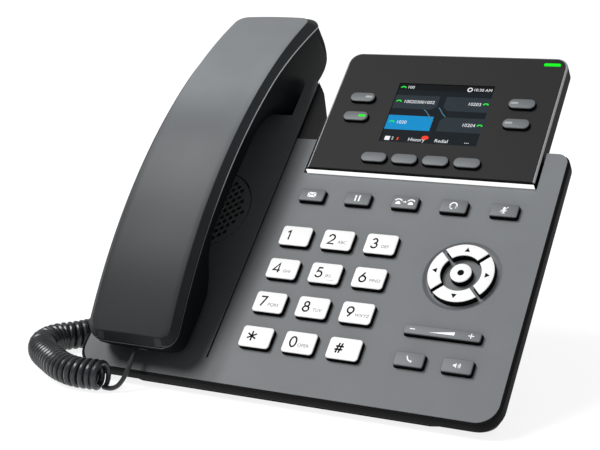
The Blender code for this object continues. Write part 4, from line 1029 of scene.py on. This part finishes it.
# Painted highlight: a pale strip along the tower's right edge stands for the light its rounded edge catches.
tower_edge_highlight = box_mesh((0.3 * MM, 158 * MM, 0.4 * MM), (TOWER_RIGHT - 0.12 * MM, 92.5 * MM, -0.14 * MM))
piece("tower_edge_highlight", tower_edge_highlight, edge_highlight_grey, slot="grey_plastic")
print("cover:", len(cover.data.polygons), "faces")

# %% [markdown]
# ## The rear case
# The case shows as a dark rim round the cover. Its walls run straight back a few millimetres, then
# lean in, so the body looks thin from above. Its far edges are flush with the cover, and the tower
# has one straight wall of its own on the right. A flat under the front edge lets it stand on the
# desk. Shade is painted into the plastic: it is painted darkest near the cover and lighter on the back.

# %% Rear case
RIM_OUT = 1.5 * MM
RIM_DEPTH = 5.2 * MM
CASE_DEPTH = 26.0 * MM
CASE_WALL = 2.2 * MM
POCKET_WALL = 2.3 * MM
TOWER_WALL = (
    (112, -3), (173.0, -3), (172.6, -6.8), (170.8, -10.2),
    (169.0, -13.6), (166.0, -18.5), (158.0, -23), (112, -23),
)
desk_flat_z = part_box("rear_case")[0].z


def case_shell(grow, depth, taper, top):
    levels = [
        (top, 0.0), (-RIM_DEPTH, 0.0), (-RIM_DEPTH - 0.6 * MM, 0.06 * MM),
        (-RIM_DEPTH - 1.4 * MM, 0.4 * MM), (-depth, taper),
    ]
    return stack(lambda inset: body_outline(grow - inset, far=min(grow, 0) - inset), levels)


def under_desk(target, height):
    """Cuts away what lies below a height over the desk."""
    upright = FACE.to_3x3().inverted() @ Vector((0, 0, 1))
    local = FACE.inverted() @ Vector((0, 0, height))
    mesh_data = bmesh.new()
    mesh_data.from_mesh(target.data)
    cut = bmesh.ops.bisect_plane(
        mesh_data, geom=[*mesh_data.verts, *mesh_data.edges, *mesh_data.faces],
        plane_co=local, plane_no=-upright, clear_outer=True,
    )
    edges = [part for part in cut["geom_cut"] if isinstance(part, bmesh.types.BMEdge)]
    bmesh.ops.holes_fill(mesh_data, edges=edges, sides=0)
    bmesh.ops.recalc_face_normals(mesh_data, faces=mesh_data.faces)
    mesh_data.to_mesh(target.data)
    mesh_data.free()


case = piece(
    "case_moulding", case_shell(RIM_OUT, CASE_DEPTH, 10 * MM, -0.3 * MM), rear_black,
    slot="dark_plastic", stands_for=("rear_case",),
)
carve(case, side_prism(mm(TOWER_WALL), TOWER_RIGHT - 12 * MM, TOWER_RIGHT + RIM_OUT), "UNION")
hump_half = DISPLAY_SIZE[0] / 2 - 15 * MM
hump_low = COVER_HEIGHT - 10 * MM
hump_high = DISPLAY_BOTTOM + DISPLAY_SIZE[1] - 9 * MM
back = -6.8 * MM
hump = [(hump_low, back), (hump_high, back), (hump_high, back - 4 * MM), (hump_low, -22 * MM)]
carve(case, side_prism(hump, DISPLAY_X - hump_half, DISPLAY_X + hump_half), "UNION")
carve(case, box_mesh((2 * notch_half, 30 * MM, 50 * MM), (DISPLAY_X, COVER_HEIGHT, back + 24.9 * MM)))
pocket_half = EAR_HALF + POCKET_WALL
carve(case, side_prism(pocket_side(POCKET_WALL, POCKET_END), CRADLE_X - pocket_half, CRADLE_X + pocket_half))
under_desk(case, desk_flat_z)
soften(case, 0.7 * MM, 3, 35)
hollow = piece(
    "hollow", case_shell(RIM_OUT - CASE_WALL, CASE_DEPTH - CASE_WALL, 9 * MM, 26 * MM), case_black, body=None
)
under_desk(hollow, desk_flat_z + CASE_WALL)
inside = bmesh.new()
inside.from_mesh(hollow.data)
bpy.data.objects.remove(hollow)
carve(case, inside)
carve(case, prism(body_outline(0.3 * MM), -COVER_THICK - 0.3 * MM, 3 * MM))
cuts = bmesh.new()
box_mesh((40 * MM, 12 * MM, 10 * MM), (33 * MM, 102 * MM, -CASE_DEPTH), cuts)
box_mesh((9.2 * MM, 8.0 * MM, 10 * MM), (-80 * MM, 58 * MM, -CASE_DEPTH), cuts)
for row in range(9):
    vent = rounded(34 * MM, 1.6 * MM, 0.7 * MM, (-52 * MM, (88 + 4.2 * row) * MM), 3)
    prism(vent, -CASE_DEPTH - 1 * MM, -CASE_DEPTH + 1.2 * MM, cuts)
carve(case, cuts)
smooth(case.data)
straighten(case)
print("case:", len(case.data.polygons), "faces")

# %% [markdown]
# ## The loudspeaker grille
# The grille is a disc pierced by a field of small holes in staggered columns. The holes are cut
# right through, so the dark paper cone shows behind them.

# %% Grille
HOLE_PITCH = (2.4 * MM, 4.1 * MM)
HOLE_RADIUS = 1.28 * MM
HOLE_FIELD = 19.6 * MM
disc = circle(GRILLE_RADIUS - 0.6 * MM, 72, GRILLE_CENTRE)
# The grille takes the cover's plastic, so the painted shadow of the handset darkens it too.
grille = piece(
    "grille_disc", prism(disc, -2.2 * MM, -0.2 * MM), cover_grey,
    slot="grey_plastic", stands_for=("speaker_grille",),
)
drill = bmesh.new()
for column in range(-8, 9):
    for row in range(-6, 7):
        x = column * HOLE_PITCH[0]
        y = (row + (column % 2) / 2) * HOLE_PITCH[1]
        if math.hypot(x, y) < HOLE_FIELD:
            hole = circle(HOLE_RADIUS, 12, (GRILLE_CENTRE[0] + x, GRILLE_CENTRE[1] + y))
            prism(hole, -4 * MM, 2 * MM, drill)
carve(grille, drill)
soften(grille, 0.12 * MM, 1, 50)
print("grille:", len(grille.data.polygons), "faces")

# %% [markdown]
# ## The display
# The display stands on the face like a tile: a dark tray with a thin pale chamfer along its sides
# and top, and a flat black bezel let into it. The tray is painted darker near the face, as painted
# shade. The bezel has the window, eight small keys and the message lamp. A strip that glows white
# as painted light closes the tray along the bottom.

# %% Display tray and bezel
SCREEN_Y = 155.7 * MM
SCREEN_SIZE = (48.96 * MM, 36.72 * MM)
LAMP_CENTRE = (DISPLAY_X + 48.9 * MM, DISPLAY_BOTTOM + 70.5 * MM)
SMALL_KEY_SIZE = (12.8 * MM, 5.4 * MM)
LINE_KEY_OUT = 40.55 * MM
SOFT_KEY_Y = 126.5 * MM
SOFT_KEY_PITCH = 15.5 * MM
TRAY_LEVELS = (
    (-6.5, -1.4), (-6.3, -0.6), (-5.6, 0.0), (1.6, 0.0),
    (2.25, -0.55), (2.3, -0.7), (2.3, -0.95), (0.9, -0.95),
)
BEZEL_LEVELS = ((1.0, -1.05), (2.42, -1.05), (2.5, -1.15))
display_centre = (DISPLAY_X, DISPLAY_BOTTOM + DISPLAY_SIZE[1] / 2)


def display_outline(grow):
    """Round corners at the top, nearly sharp ones at the bottom, where the strip lies."""
    size = (DISPLAY_SIZE[0] + 2 * grow, DISPLAY_SIZE[1] + 2 * grow)
    high = rounded(*size, 6.5 * MM + grow, display_centre)
    low = rounded(*size, max(0.9 * MM + grow, 0.25 * MM), display_centre)
    return high[:len(high) // 2] + low[len(low) // 2:]


tray = piece(
    "display_tray", stack(display_outline, mm(TRAY_LEVELS)), tray_black, edge_grey,
    slot="dark_plastic", stands_for=("display_housing",),
)
for polygon in tray.data.polygons:
    if polygon.center.z > 1.65 * MM and polygon.center.y > DISPLAY_BOTTOM + 1 * MM:
        polygon.material_index = 1
bezel = piece(
    "display_face", stack(display_outline, mm(BEZEL_LEVELS)), bezel_black,
    slot="bezel_black", stands_for=("display_bezel",),
)
small_keys = {}
for side, way in (("left", -1), ("right", 1)):
    for height, y in (("upper", 162.8), ("lower", 150.8)):
        small_keys[f"line_key_{side}_{height}"] = (DISPLAY_X + way * LINE_KEY_OUT, y * MM)
for i in range(4):
    small_keys[f"soft_key_{i + 1}"] = (DISPLAY_X + (i - 1.5) * SOFT_KEY_PITCH, SOFT_KEY_Y)
window_outlines = [
    rounded(*SCREEN_SIZE, 0.3 * MM, (DISPLAY_X, SCREEN_Y), 2),
    rounded(8.7 * MM, 2.2 * MM, 0.8 * MM, LAMP_CENTRE),
    *[rounded(13.5 * MM, 6.1 * MM, 3.0 * MM, spot) for spot in small_keys.values()],
]
windows = bmesh.new()
for outline in window_outlines:
    prism(outline, -5 * MM, 9 * MM, windows)
carve(bezel, windows)
soften(bezel, 0.10 * MM, 1)
print("bezel:", len(bezel.data.polygons), "faces")

# %% Small keys, lamp and bright strip
SMALL_KEY_TOP = 4.3 * MM
key_window = rounded(3.6, 1.3, 0.3, (0, 0), 3)
for name, spot in small_keys.items():
    key = make_key(
        name, capsule(*SMALL_KEY_SIZE), spot, key_grey, "grey_plastic", top=SMALL_KEY_TOP, bottom=0.2 * MM
    )
    if name.startswith("line"):
        offset = (3.4 if "left" in name else -3.5) * MM
        glow = green_lens if name == "line_key_left_lower" else edge_grey
        light_at = (offset, 0.1 * MM, SMALL_KEY_TOP + PRINT_LIFT)
        printed(name.replace("line_key", "key_light"), drawn([key_window]), light_at, key, glow)
lamp_outline = box_key(8.1 * MM, 1.6 * MM, 0.7 * MM, LAMP_CENTRE, 4)
piece(
    "lamp_lens", stack(lamp_outline, mm([(-1.0, 0), (2.5, 0), (2.7, -0.2)])), green_lens,
    slot="green_lamp", stands_for=("message_lamp",),
)
# Painted light: the bright strip glows white, though it holds no lamp.
trim_glow = lit("trim_glow", (0.95, 0.95, 0.95), 1.0, 0.01)
trim_outline = box_key(DISPLAY_SIZE[0] - 0.2 * MM, 0.7 * MM, 0.2 * MM)
piece(
    "bright_strip", stack(trim_outline, cap_levels(2.1 * MM, -1.2 * MM, 0.12 * MM)), trim_glow,
    at=(DISPLAY_X, DISPLAY_BOTTOM - 0.45 * MM, 0), slot="bright_trim", stands_for=("trim_strip",),
)
print("display keys:", len(small_keys))

# %% [markdown]
# ## The screen
# The screen shows a resting menu: a status line, four line fields, one of them picked out in blue,
# and the names of the soft keys. It is built from thin glowing sheets stacked a few hundredths of a
# millimetre apart behind the glass.

# %% Screen contents
screen_dark = lit("screen_dark", (0.005, 0.009, 0.013), 1.0, 0.4)
screen_bar = lit("screen_bar", (0.001, 0.002, 0.003), 1.0)
screen_slate = lit("screen_slate", (0.020, 0.030, 0.038), 1.0, 0.25)
screen_blue = lit("screen_blue", (0.001, 0.225, 0.500), 1.0, 0.05)
screen_pale = lit("screen_pale", (0.060, 0.170, 0.240), 1.0, 0.1)
screen_white = lit("screen_white", (0.85, 0.87, 0.90), 0.9)
screen_green = lit("screen_green", (0.01, 0.75, 0.03), 1.0)
screen_red = lit("screen_red", (0.85, 0.05, 0.02), 1.0)
PANEL_TOP = 2.1 * MM
PANEL_FOOT = 0.7 * MM
SHEET = 0.02 * MM
screen_at = (DISPLAY_X, SCREEN_Y, 0)
panel = prism(rounded(60 * MM, 45.7 * MM, 0.5 * MM, (0, 0), 2), -2.5 * MM, PANEL_FOOT)
piece("screen_panel", panel, case_black, at=screen_at, slot="screen_glass", stands_for=("lcd_panel",))
block_outline = rounded(SCREEN_SIZE[0] - 0.3 * MM, SCREEN_SIZE[1] - 0.3 * MM, 0.25 * MM, (0, 0), 2)
block = prism(block_outline, PANEL_FOOT + 0.05 * MM, PANEL_TOP)
screen_block = piece("screen_block", block, screen_dark, at=screen_at, slot="screen_glass")


def oval(x, y, half_width, half_height, sides):
    return [(x + half_width * a, y + half_height * b) for a, b in circle(1, sides)]


receivers = [
    (0.7, [(x + a, y + b) for a, b in arc(0, -0.7, 1.25, 1.1, 15, 165, 8)])
    for x, y in ((-21.9, 16.0), (-21.8, 7.2), (-21.6, -5.8), (22.6, 7.2), (22.9, -5.8))
]
dial = oval(12.4, 15.9, 1.1, 1.1, 20)
SHEETS = (
    ("status_bar", 1, screen_bar, [rectangle(-24.3, 14.4, 24.3, 18.2)]),
    ("line_fields", 1, screen_slate, [
        [(-24.3, 2.6), (-3.6, 2.6), (-1.4, 4.6), (-1.4, 11.0), (-24.3, 11.0)],
        [(4.4, 2.2), (24.3, 2.2), (24.3, 11.0), (2.0, 11.0), (2.0, 4.4)],
        [(2.4, -10.4), (24.3, -10.4), (24.3, -1.7), (4.8, -1.7), (2.4, -3.8)],
    ]),
    ("picked_field", 1, screen_blue, [rectangle(-24.3, -10.5, -1.1, -1.7)]),
    ("screen_curves", 2, screen_pale, [
        (0.45, [(-7.4, 2.4), (-6.2, 1.6), (-3.8, -1.2), (-0.9, -4.4)]),
        (0.45, [(-0.2, 4.0), (0.8, 3.0), (2.6, 0.4), (4.6, -1.5)]),
    ]),
    ("line_signs", 2.5, screen_green, receivers),
    ("badge", 3, screen_red, [oval(-1.9, -14.7, 1.8, 1.2, 16)]),
    ("page_mark", 2, screen_white, [rectangle(-22.2, -17.2, -19.6, -14.8)]),
    ("page_dot", 2, screen_red, [rectangle(-15.9, -16.9, -15.2, -15.2)]),
    ("clock_sign", 2.5, screen_white, [(0.5, [*dial, dial[0]])]),
)
for name, layer, coat, shapes in SHEETS:
    printed(name, drawn(shapes), (0, 0, PANEL_TOP + layer * SHEET), screen_block, coat)
SCREEN_WORDS = (
    ("status_line", "100", 2.5, -19.9, 16.0, "LEFT"), ("clock", "10:30 AM", 2.4, 23.6, 15.8, "RIGHT"),
    ("field_one", "100203001002", 2.7, -19.3, 6.9, "LEFT"), ("field_two", "10203", 2.7, 20.4, 6.9, "RIGHT"),
    ("field_three", "1020", 2.7, -19.3, -6.0, "LEFT"), ("field_four", "10204", 2.7, 20.8, -6.0, "RIGHT"),
    ("page_number", "2", 2.4, -18.8, -16.0, "LEFT"), ("soft_one", "History", 2.8, -10.2, -16.2, "LEFT"),
    ("soft_two", "Redial", 2.8, 3.2, -16.2, "LEFT"), ("soft_three", "...", 3.8, 18.0, -15.6, "LEFT"),
)
for name, text, size, x, y, align in SCREEN_WORDS:
    spot = (x * MM, y * MM, PANEL_TOP + 3 * SHEET)
    lettering("word_" + name, text, size * MM, spot, screen_block, screen_white, align)
print("screen drawn")

# %% [markdown]
# ## The handset
# The handset is two shells that meet at a parting line. Both follow the same plan outline, a long
# rounded rectangle, taken at a few levels: the face's edge, the parting line, the foot of the side
# wall and the belly. Heights come from the two side-view curves, so the grip arches over the cradle
# while the ear end dips into its pocket. A grid closes the face and the belly.


# %% Plan levels
HANDSET_ROWS = 150
HANDSET_COLUMNS = 14
CORNER_ROWS = 10


def chain(half, low, high, radius):
    """Right-hand side of the plan outline, from the chin to the crown."""
    points = []
    for step in range(CORNER_ROWS):
        angle = -math.pi / 2 + step / CORNER_ROWS * math.pi / 2
        points.append((half - radius + radius * math.cos(angle), low + radius + radius * math.sin(angle)))
    straight = HANDSET_ROWS - 2 * CORNER_ROWS
    for step in range(straight + 1):
        points.append((half, low + radius + (high - low - 2 * radius) * step / straight))
    for step in range(1, CORNER_ROWS + 1):
        angle = step / CORNER_ROWS * math.pi / 2
        points.append((half - radius + radius * math.cos(angle), high - radius + radius * math.sin(angle)))
    return points


def plan_ring(half, low, high, radius, height):
    """A closed loop round the handset at one level."""
    side = chain(half, low, high, radius)
    first, last = side[0], side[-1]
    ring = []
    for j in range(1, HANDSET_COLUMNS):
        ring.append((first[0] * (2 * j / HANDSET_COLUMNS - 1), first[1]))
    ring += side
    for j in range(1, HANDSET_COLUMNS):
        ring.append((last[0] * (1 - 2 * j / HANDSET_COLUMNS), last[1]))
    ring += [(-x, y) for x, y in reversed(side)]
    return [(x, y, height(x, y)) for x, y in ring]


def close_with_grid(mesh_data, ring, height):
    """Fills a plan ring with rows that run from its left to its right side."""
    columns = HANDSET_COLUMNS
    size = len(ring)
    rows = (size - 2 * (columns - 1)) // 2
    right = ring[columns - 1: columns - 1 + rows]
    left = ring[columns - 1 + rows + columns - 1:][::-1]
    table = []
    for k in range(rows):
        a, b = left[k], right[k]
        if k == 0:
            row = [a, *ring[:columns - 1], b]
        elif k == rows - 1:
            row = [a, *ring[columns - 1 + rows: columns - 1 + rows + columns - 1][::-1], b]
        else:
            row = [a]
            for j in range(1, columns):
                spot = a.co.lerp(b.co, j / columns)
                row.append(mesh_data.verts.new((spot.x, spot.y, height(spot.x, spot.y))))
            row.append(b)
        table.append(row)
    for lower, upper in zip(table, table[1:]):
        for j in range(columns):
            mesh_data.faces.new((lower[j], lower[j + 1], upper[j + 1], upper[j]))


def shell(levels, top_height, low_height):
    """Skins a stack of plan rings and closes both ends with grids."""
    mesh_data = bmesh.new()
    rings = [[mesh_data.verts.new(p) for p in plan_ring(*level)] for level in levels]
    for lower, upper in zip(rings, rings[1:]):
        for i in range(len(lower)):
            j = (i + 1) % len(lower)
            mesh_data.faces.new((lower[i], lower[j], upper[j], upper[i]))
    close_with_grid(mesh_data, rings[0], top_height)
    close_with_grid(mesh_data, rings[-1], low_height)
    return mesh_data


# %% Handset shells
CROWN = 0.8 * MM
BACK_START = 9.0 * MM
shoulder = pchip(mm([(6.6, 3.0), (150, 3.0), (190, 4.6), (211, 5.4)]))


def back_height(x, y):
    """The arched back, very slightly crowned across."""
    drop = max(0.0, (BACK_START - y) * 1.6)
    return arc_height(max(y, BACK_START)) - drop + CROWN * (1 - (x / (21 * MM)) ** 2)


def parting(x, y):
    """The line where the two shells meet."""
    foot = wall_foot(y)
    top = arc_height(min(max(y, 8 * MM), 207 * MM)) - shoulder(y)
    near = min(max((y - 6.4 * MM) / (5 * MM), 0), 1)
    far = min(max((211 * MM - y) / (6 * MM), 0), 1)
    top = min(top, 12.6 * MM + near * 30 * MM, 6.9 * MM + far * 30 * MM)
    return max(top, foot + 0.8 * MM)


def by_parting(lift):
    """Follows the parting line, some millimetres above it or, with a minus, below it."""
    return lambda x, y: parting(x, y) + lift * MM


def blend_height(share):
    """Between the belly and the foot of the wall."""
    def height(x, y):
        under = underside(y) + 0.1 * MM
        return under + share * max(wall_foot(y) - under, 0.2 * MM)
    return height


def level(half, low, high, radius, height):
    return (half * MM, low * MM, high * MM, radius * MM, height)


grip_levels = [
    level(20.6, 9.4, 206.1, 5.0, back_height),
    level(21.0, 9.0, 206.5, 5.2, lambda x, y: back_height(x, y) - 0.15 * MM),
    level(21.25, 8.75, 206.8, 5.4, lambda x, y: 0.9 * back_height(x, y) + 0.1 * parting(x, y) - 0.1 * MM),
    level(23.7, 6.75, 210.6, 7.7, lambda x, y: 0.12 * back_height(x, y) + 0.88 * parting(x, y)),
    level(24.0, 6.45, 210.95, 8.0, by_parting(0.1)),
    level(23.2, 7.2, 210.1, 7.4, by_parting(0.1)),
    level(20.5, 9.8, 205.5, 5.0, by_parting(0.3)),
]
handset_grey = moulded("handset_grey", (0.220, 0.236, 0.245), 0.46, grain=0.30, shine=0.2)
# Painted light and shade: the face is painted dark at the mouth end and light at the ear end, as light falls
# on its arch.
painted_shade_along(
    handset_grey, "Y", [(0, 0.10), (25, 0.11), (60, 0.20), (110, 0.53), (150, 1.0), (212, 0.92)], level=True
)
handset_band = moulded("handset_band", (0.024, 0.028, 0.030), 0.42, grain=0.25, shine=0.12)
# The band gets painted shade the same way, darker towards the mouth end.
painted_shade_along(handset_band, "Y", [(0, 0.40), (60, 0.6), (110, 0.9), (212, 1.0)], level=True)
handset_dark = moulded("handset_dark", (0.0055, 0.0065, 0.0072), 0.50, grain=0.30, shine=0.03)
grip = piece(
    "handset_back", shell(grip_levels, back_height, by_parting(0.4)),
    handset_grey, handset_band, at=(CRADLE_X, 0, 0), body="handset", slot="grey_plastic",
    stands_for=("handset_grip_shell",),
)
FACE_HALF = 20.9 * MM
FACE_DROP = 0.28 * MM
for polygon in grip.data.polygons:
    x, y, z = polygon.center
    if z < back_height(x, y) - FACE_DROP or abs(x) > FACE_HALF:
        polygon.material_index = 1
inner_levels = [
    level(23.6, 6.85, 210.5, 7.6, by_parting(-0.05)),
    level(24.1, 6.35, 211.05, 8.1, by_parting(-0.1)),
    level(24.1, 6.35, 211.05, 8.1, by_parting(-0.9)),
    level(23.9, 6.6, 210.8, 8.0, by_parting(-1.1)),
    level(23.7, 6.9, 210.5, 7.9, lambda x, y: max(wall_foot(y), blend_height(1.0)(x, y))),
    level(23.0, 7.4, 209.6, 7.4, blend_height(0.66)),
    level(21.4, 8.4, 207.6, 6.8, blend_height(0.30)),
    level(19.2, 9.8, 205.0, 6.2, blend_height(0.08)),
    level(17.0, 11.4, 202.5, 5.6, blend_height(0.0)),
]
# Painted highlight: a pale ring just under the parting line stands for the light that the handset's widest
# edge catches, and it is painted dark towards the mouth end as shade.
parting_highlight = moulded("parting_highlight", (0.66, 0.68, 0.70), 0.40, grain=0.1, shine=0.3)
painted_shade_along(parting_highlight, "Y", [(0, 0.06), (60, 0.14), (100, 0.7), (150, 1.0), (212, 0.5)], level=True)
inner = piece(
    "handset_inside", shell(inner_levels, parting, blend_height(0.0)),
    handset_dark, parting_highlight, at=(CRADLE_X, 0, 0), body="handset", slot="dark_plastic",
    stands_for=("handset_inner_shell",),
)
# The painted highlight goes on the ring of faces just under the parting line.
around = len(plan_ring(*inner_levels[0]))
for polygon in inner.data.polygons[around:2 * around]:
    polygon.material_index = 1
straighten(grip)
straighten(inner)
print("handset:", len(grip.data.polygons) + len(inner.data.polygons), "faces")

# %% [markdown]
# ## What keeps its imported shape
# The stand, the feet, the circuit board and the other inner pieces already have the right shape, so
# they only get their materials.

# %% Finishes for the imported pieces
speaker_paper = moulded("speaker_paper", (0.006, 0.006, 0.007), 0.85, grain=0.6)
board_green = moulded("board_green", (0.008, 0.085, 0.030), 0.42, grain=0.2, coat=0.3)
silicone = moulded("silicone", (0.36, 0.36, 0.35), 0.72, grain=0.3)
steel = moulded("steel", (0.40, 0.40, 0.41), 0.34, grain=0.3)
steel.node_tree.nodes["Principled BSDF"].inputs["Metallic"].default_value = 1.0
FINISHES = {
    "stand": stand_black, "front_foot": foot_rubber, "stand_foot": foot_rubber, "loudspeaker": speaker_paper,
    "main_board": board_green, "keypad_mat": silicone, "network_jacks": steel, "cord_jack": case_black,
    "retainer_tab": cover_grey, "hook_plunger": skirt_black, "receiver": steel, "microphone": steel,
    "handset_plug": clear_plug, "base_plug": clear_plug,
}
for node, coat in FINISHES.items():
    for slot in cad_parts[node].material_slots:
        slot.link = "OBJECT"
        slot.material = coat
print("packed pieces painted:", len(FINISHES))

# %% [markdown]
# ## Floor and light
# A pale seamless floor and a pale room give the soft, even look of a catalogue. One large lamp from
# the upper left makes the shadows fall to the right and down the slope, as they do from a window.

# %% Floor, room and lamps
FLOOR_HALF = 900
ROOM_LIGHT = 0.42
floor_white = lit("floor_white", (1.0, 1.0, 1.0), 0.86, spread=0.02)
floor_shader = floor_white.node_tree.nodes["Principled BSDF"]
floor_shader.inputs["Base Color"].default_value = (0.24, 0.24, 0.24, 1)
floor_shader.inputs["Roughness"].default_value = 0.6
floor_mesh = bmesh.new()
filled(floor_mesh, rectangle(-FLOOR_HALF, -FLOOR_HALF, FLOOR_HALF, FLOOR_HALF))
mesh = bpy.data.meshes.new("floor")
floor_mesh.to_mesh(mesh)
floor_mesh.free()
mesh.materials.append(floor_white)
floor = bpy.data.objects.new("floor", mesh)
bpy.context.scene.collection.objects.link(floor)

room = bpy.data.worlds.new("room")
bpy.context.scene.world = room
room.use_nodes = True
backdrop = room.node_tree.nodes["Background"]
backdrop.inputs["Color"].default_value = (1, 1, 1, 1)
backdrop.inputs["Strength"].default_value = ROOM_LIGHT


def lamp(name, towards, strength, spread):
    """A distant soft lamp, given by the direction it is seen in and how wide it looks."""
    data = bpy.data.lights.new(name, "SUN")
    data.energy = strength
    data.angle = math.radians(spread)
    made = bpy.data.objects.new(name, data)
    bpy.context.scene.collection.objects.link(made)
    made.location = Vector(towards)
    made.rotation_euler = Vector(towards).to_track_quat("Z", "Y").to_euler()


lamp("window", (-0.45, -0.35, 0.82), 2.35, 24)
bpy.context.scene.view_settings.view_transform = "Standard"
print("lamps placed")
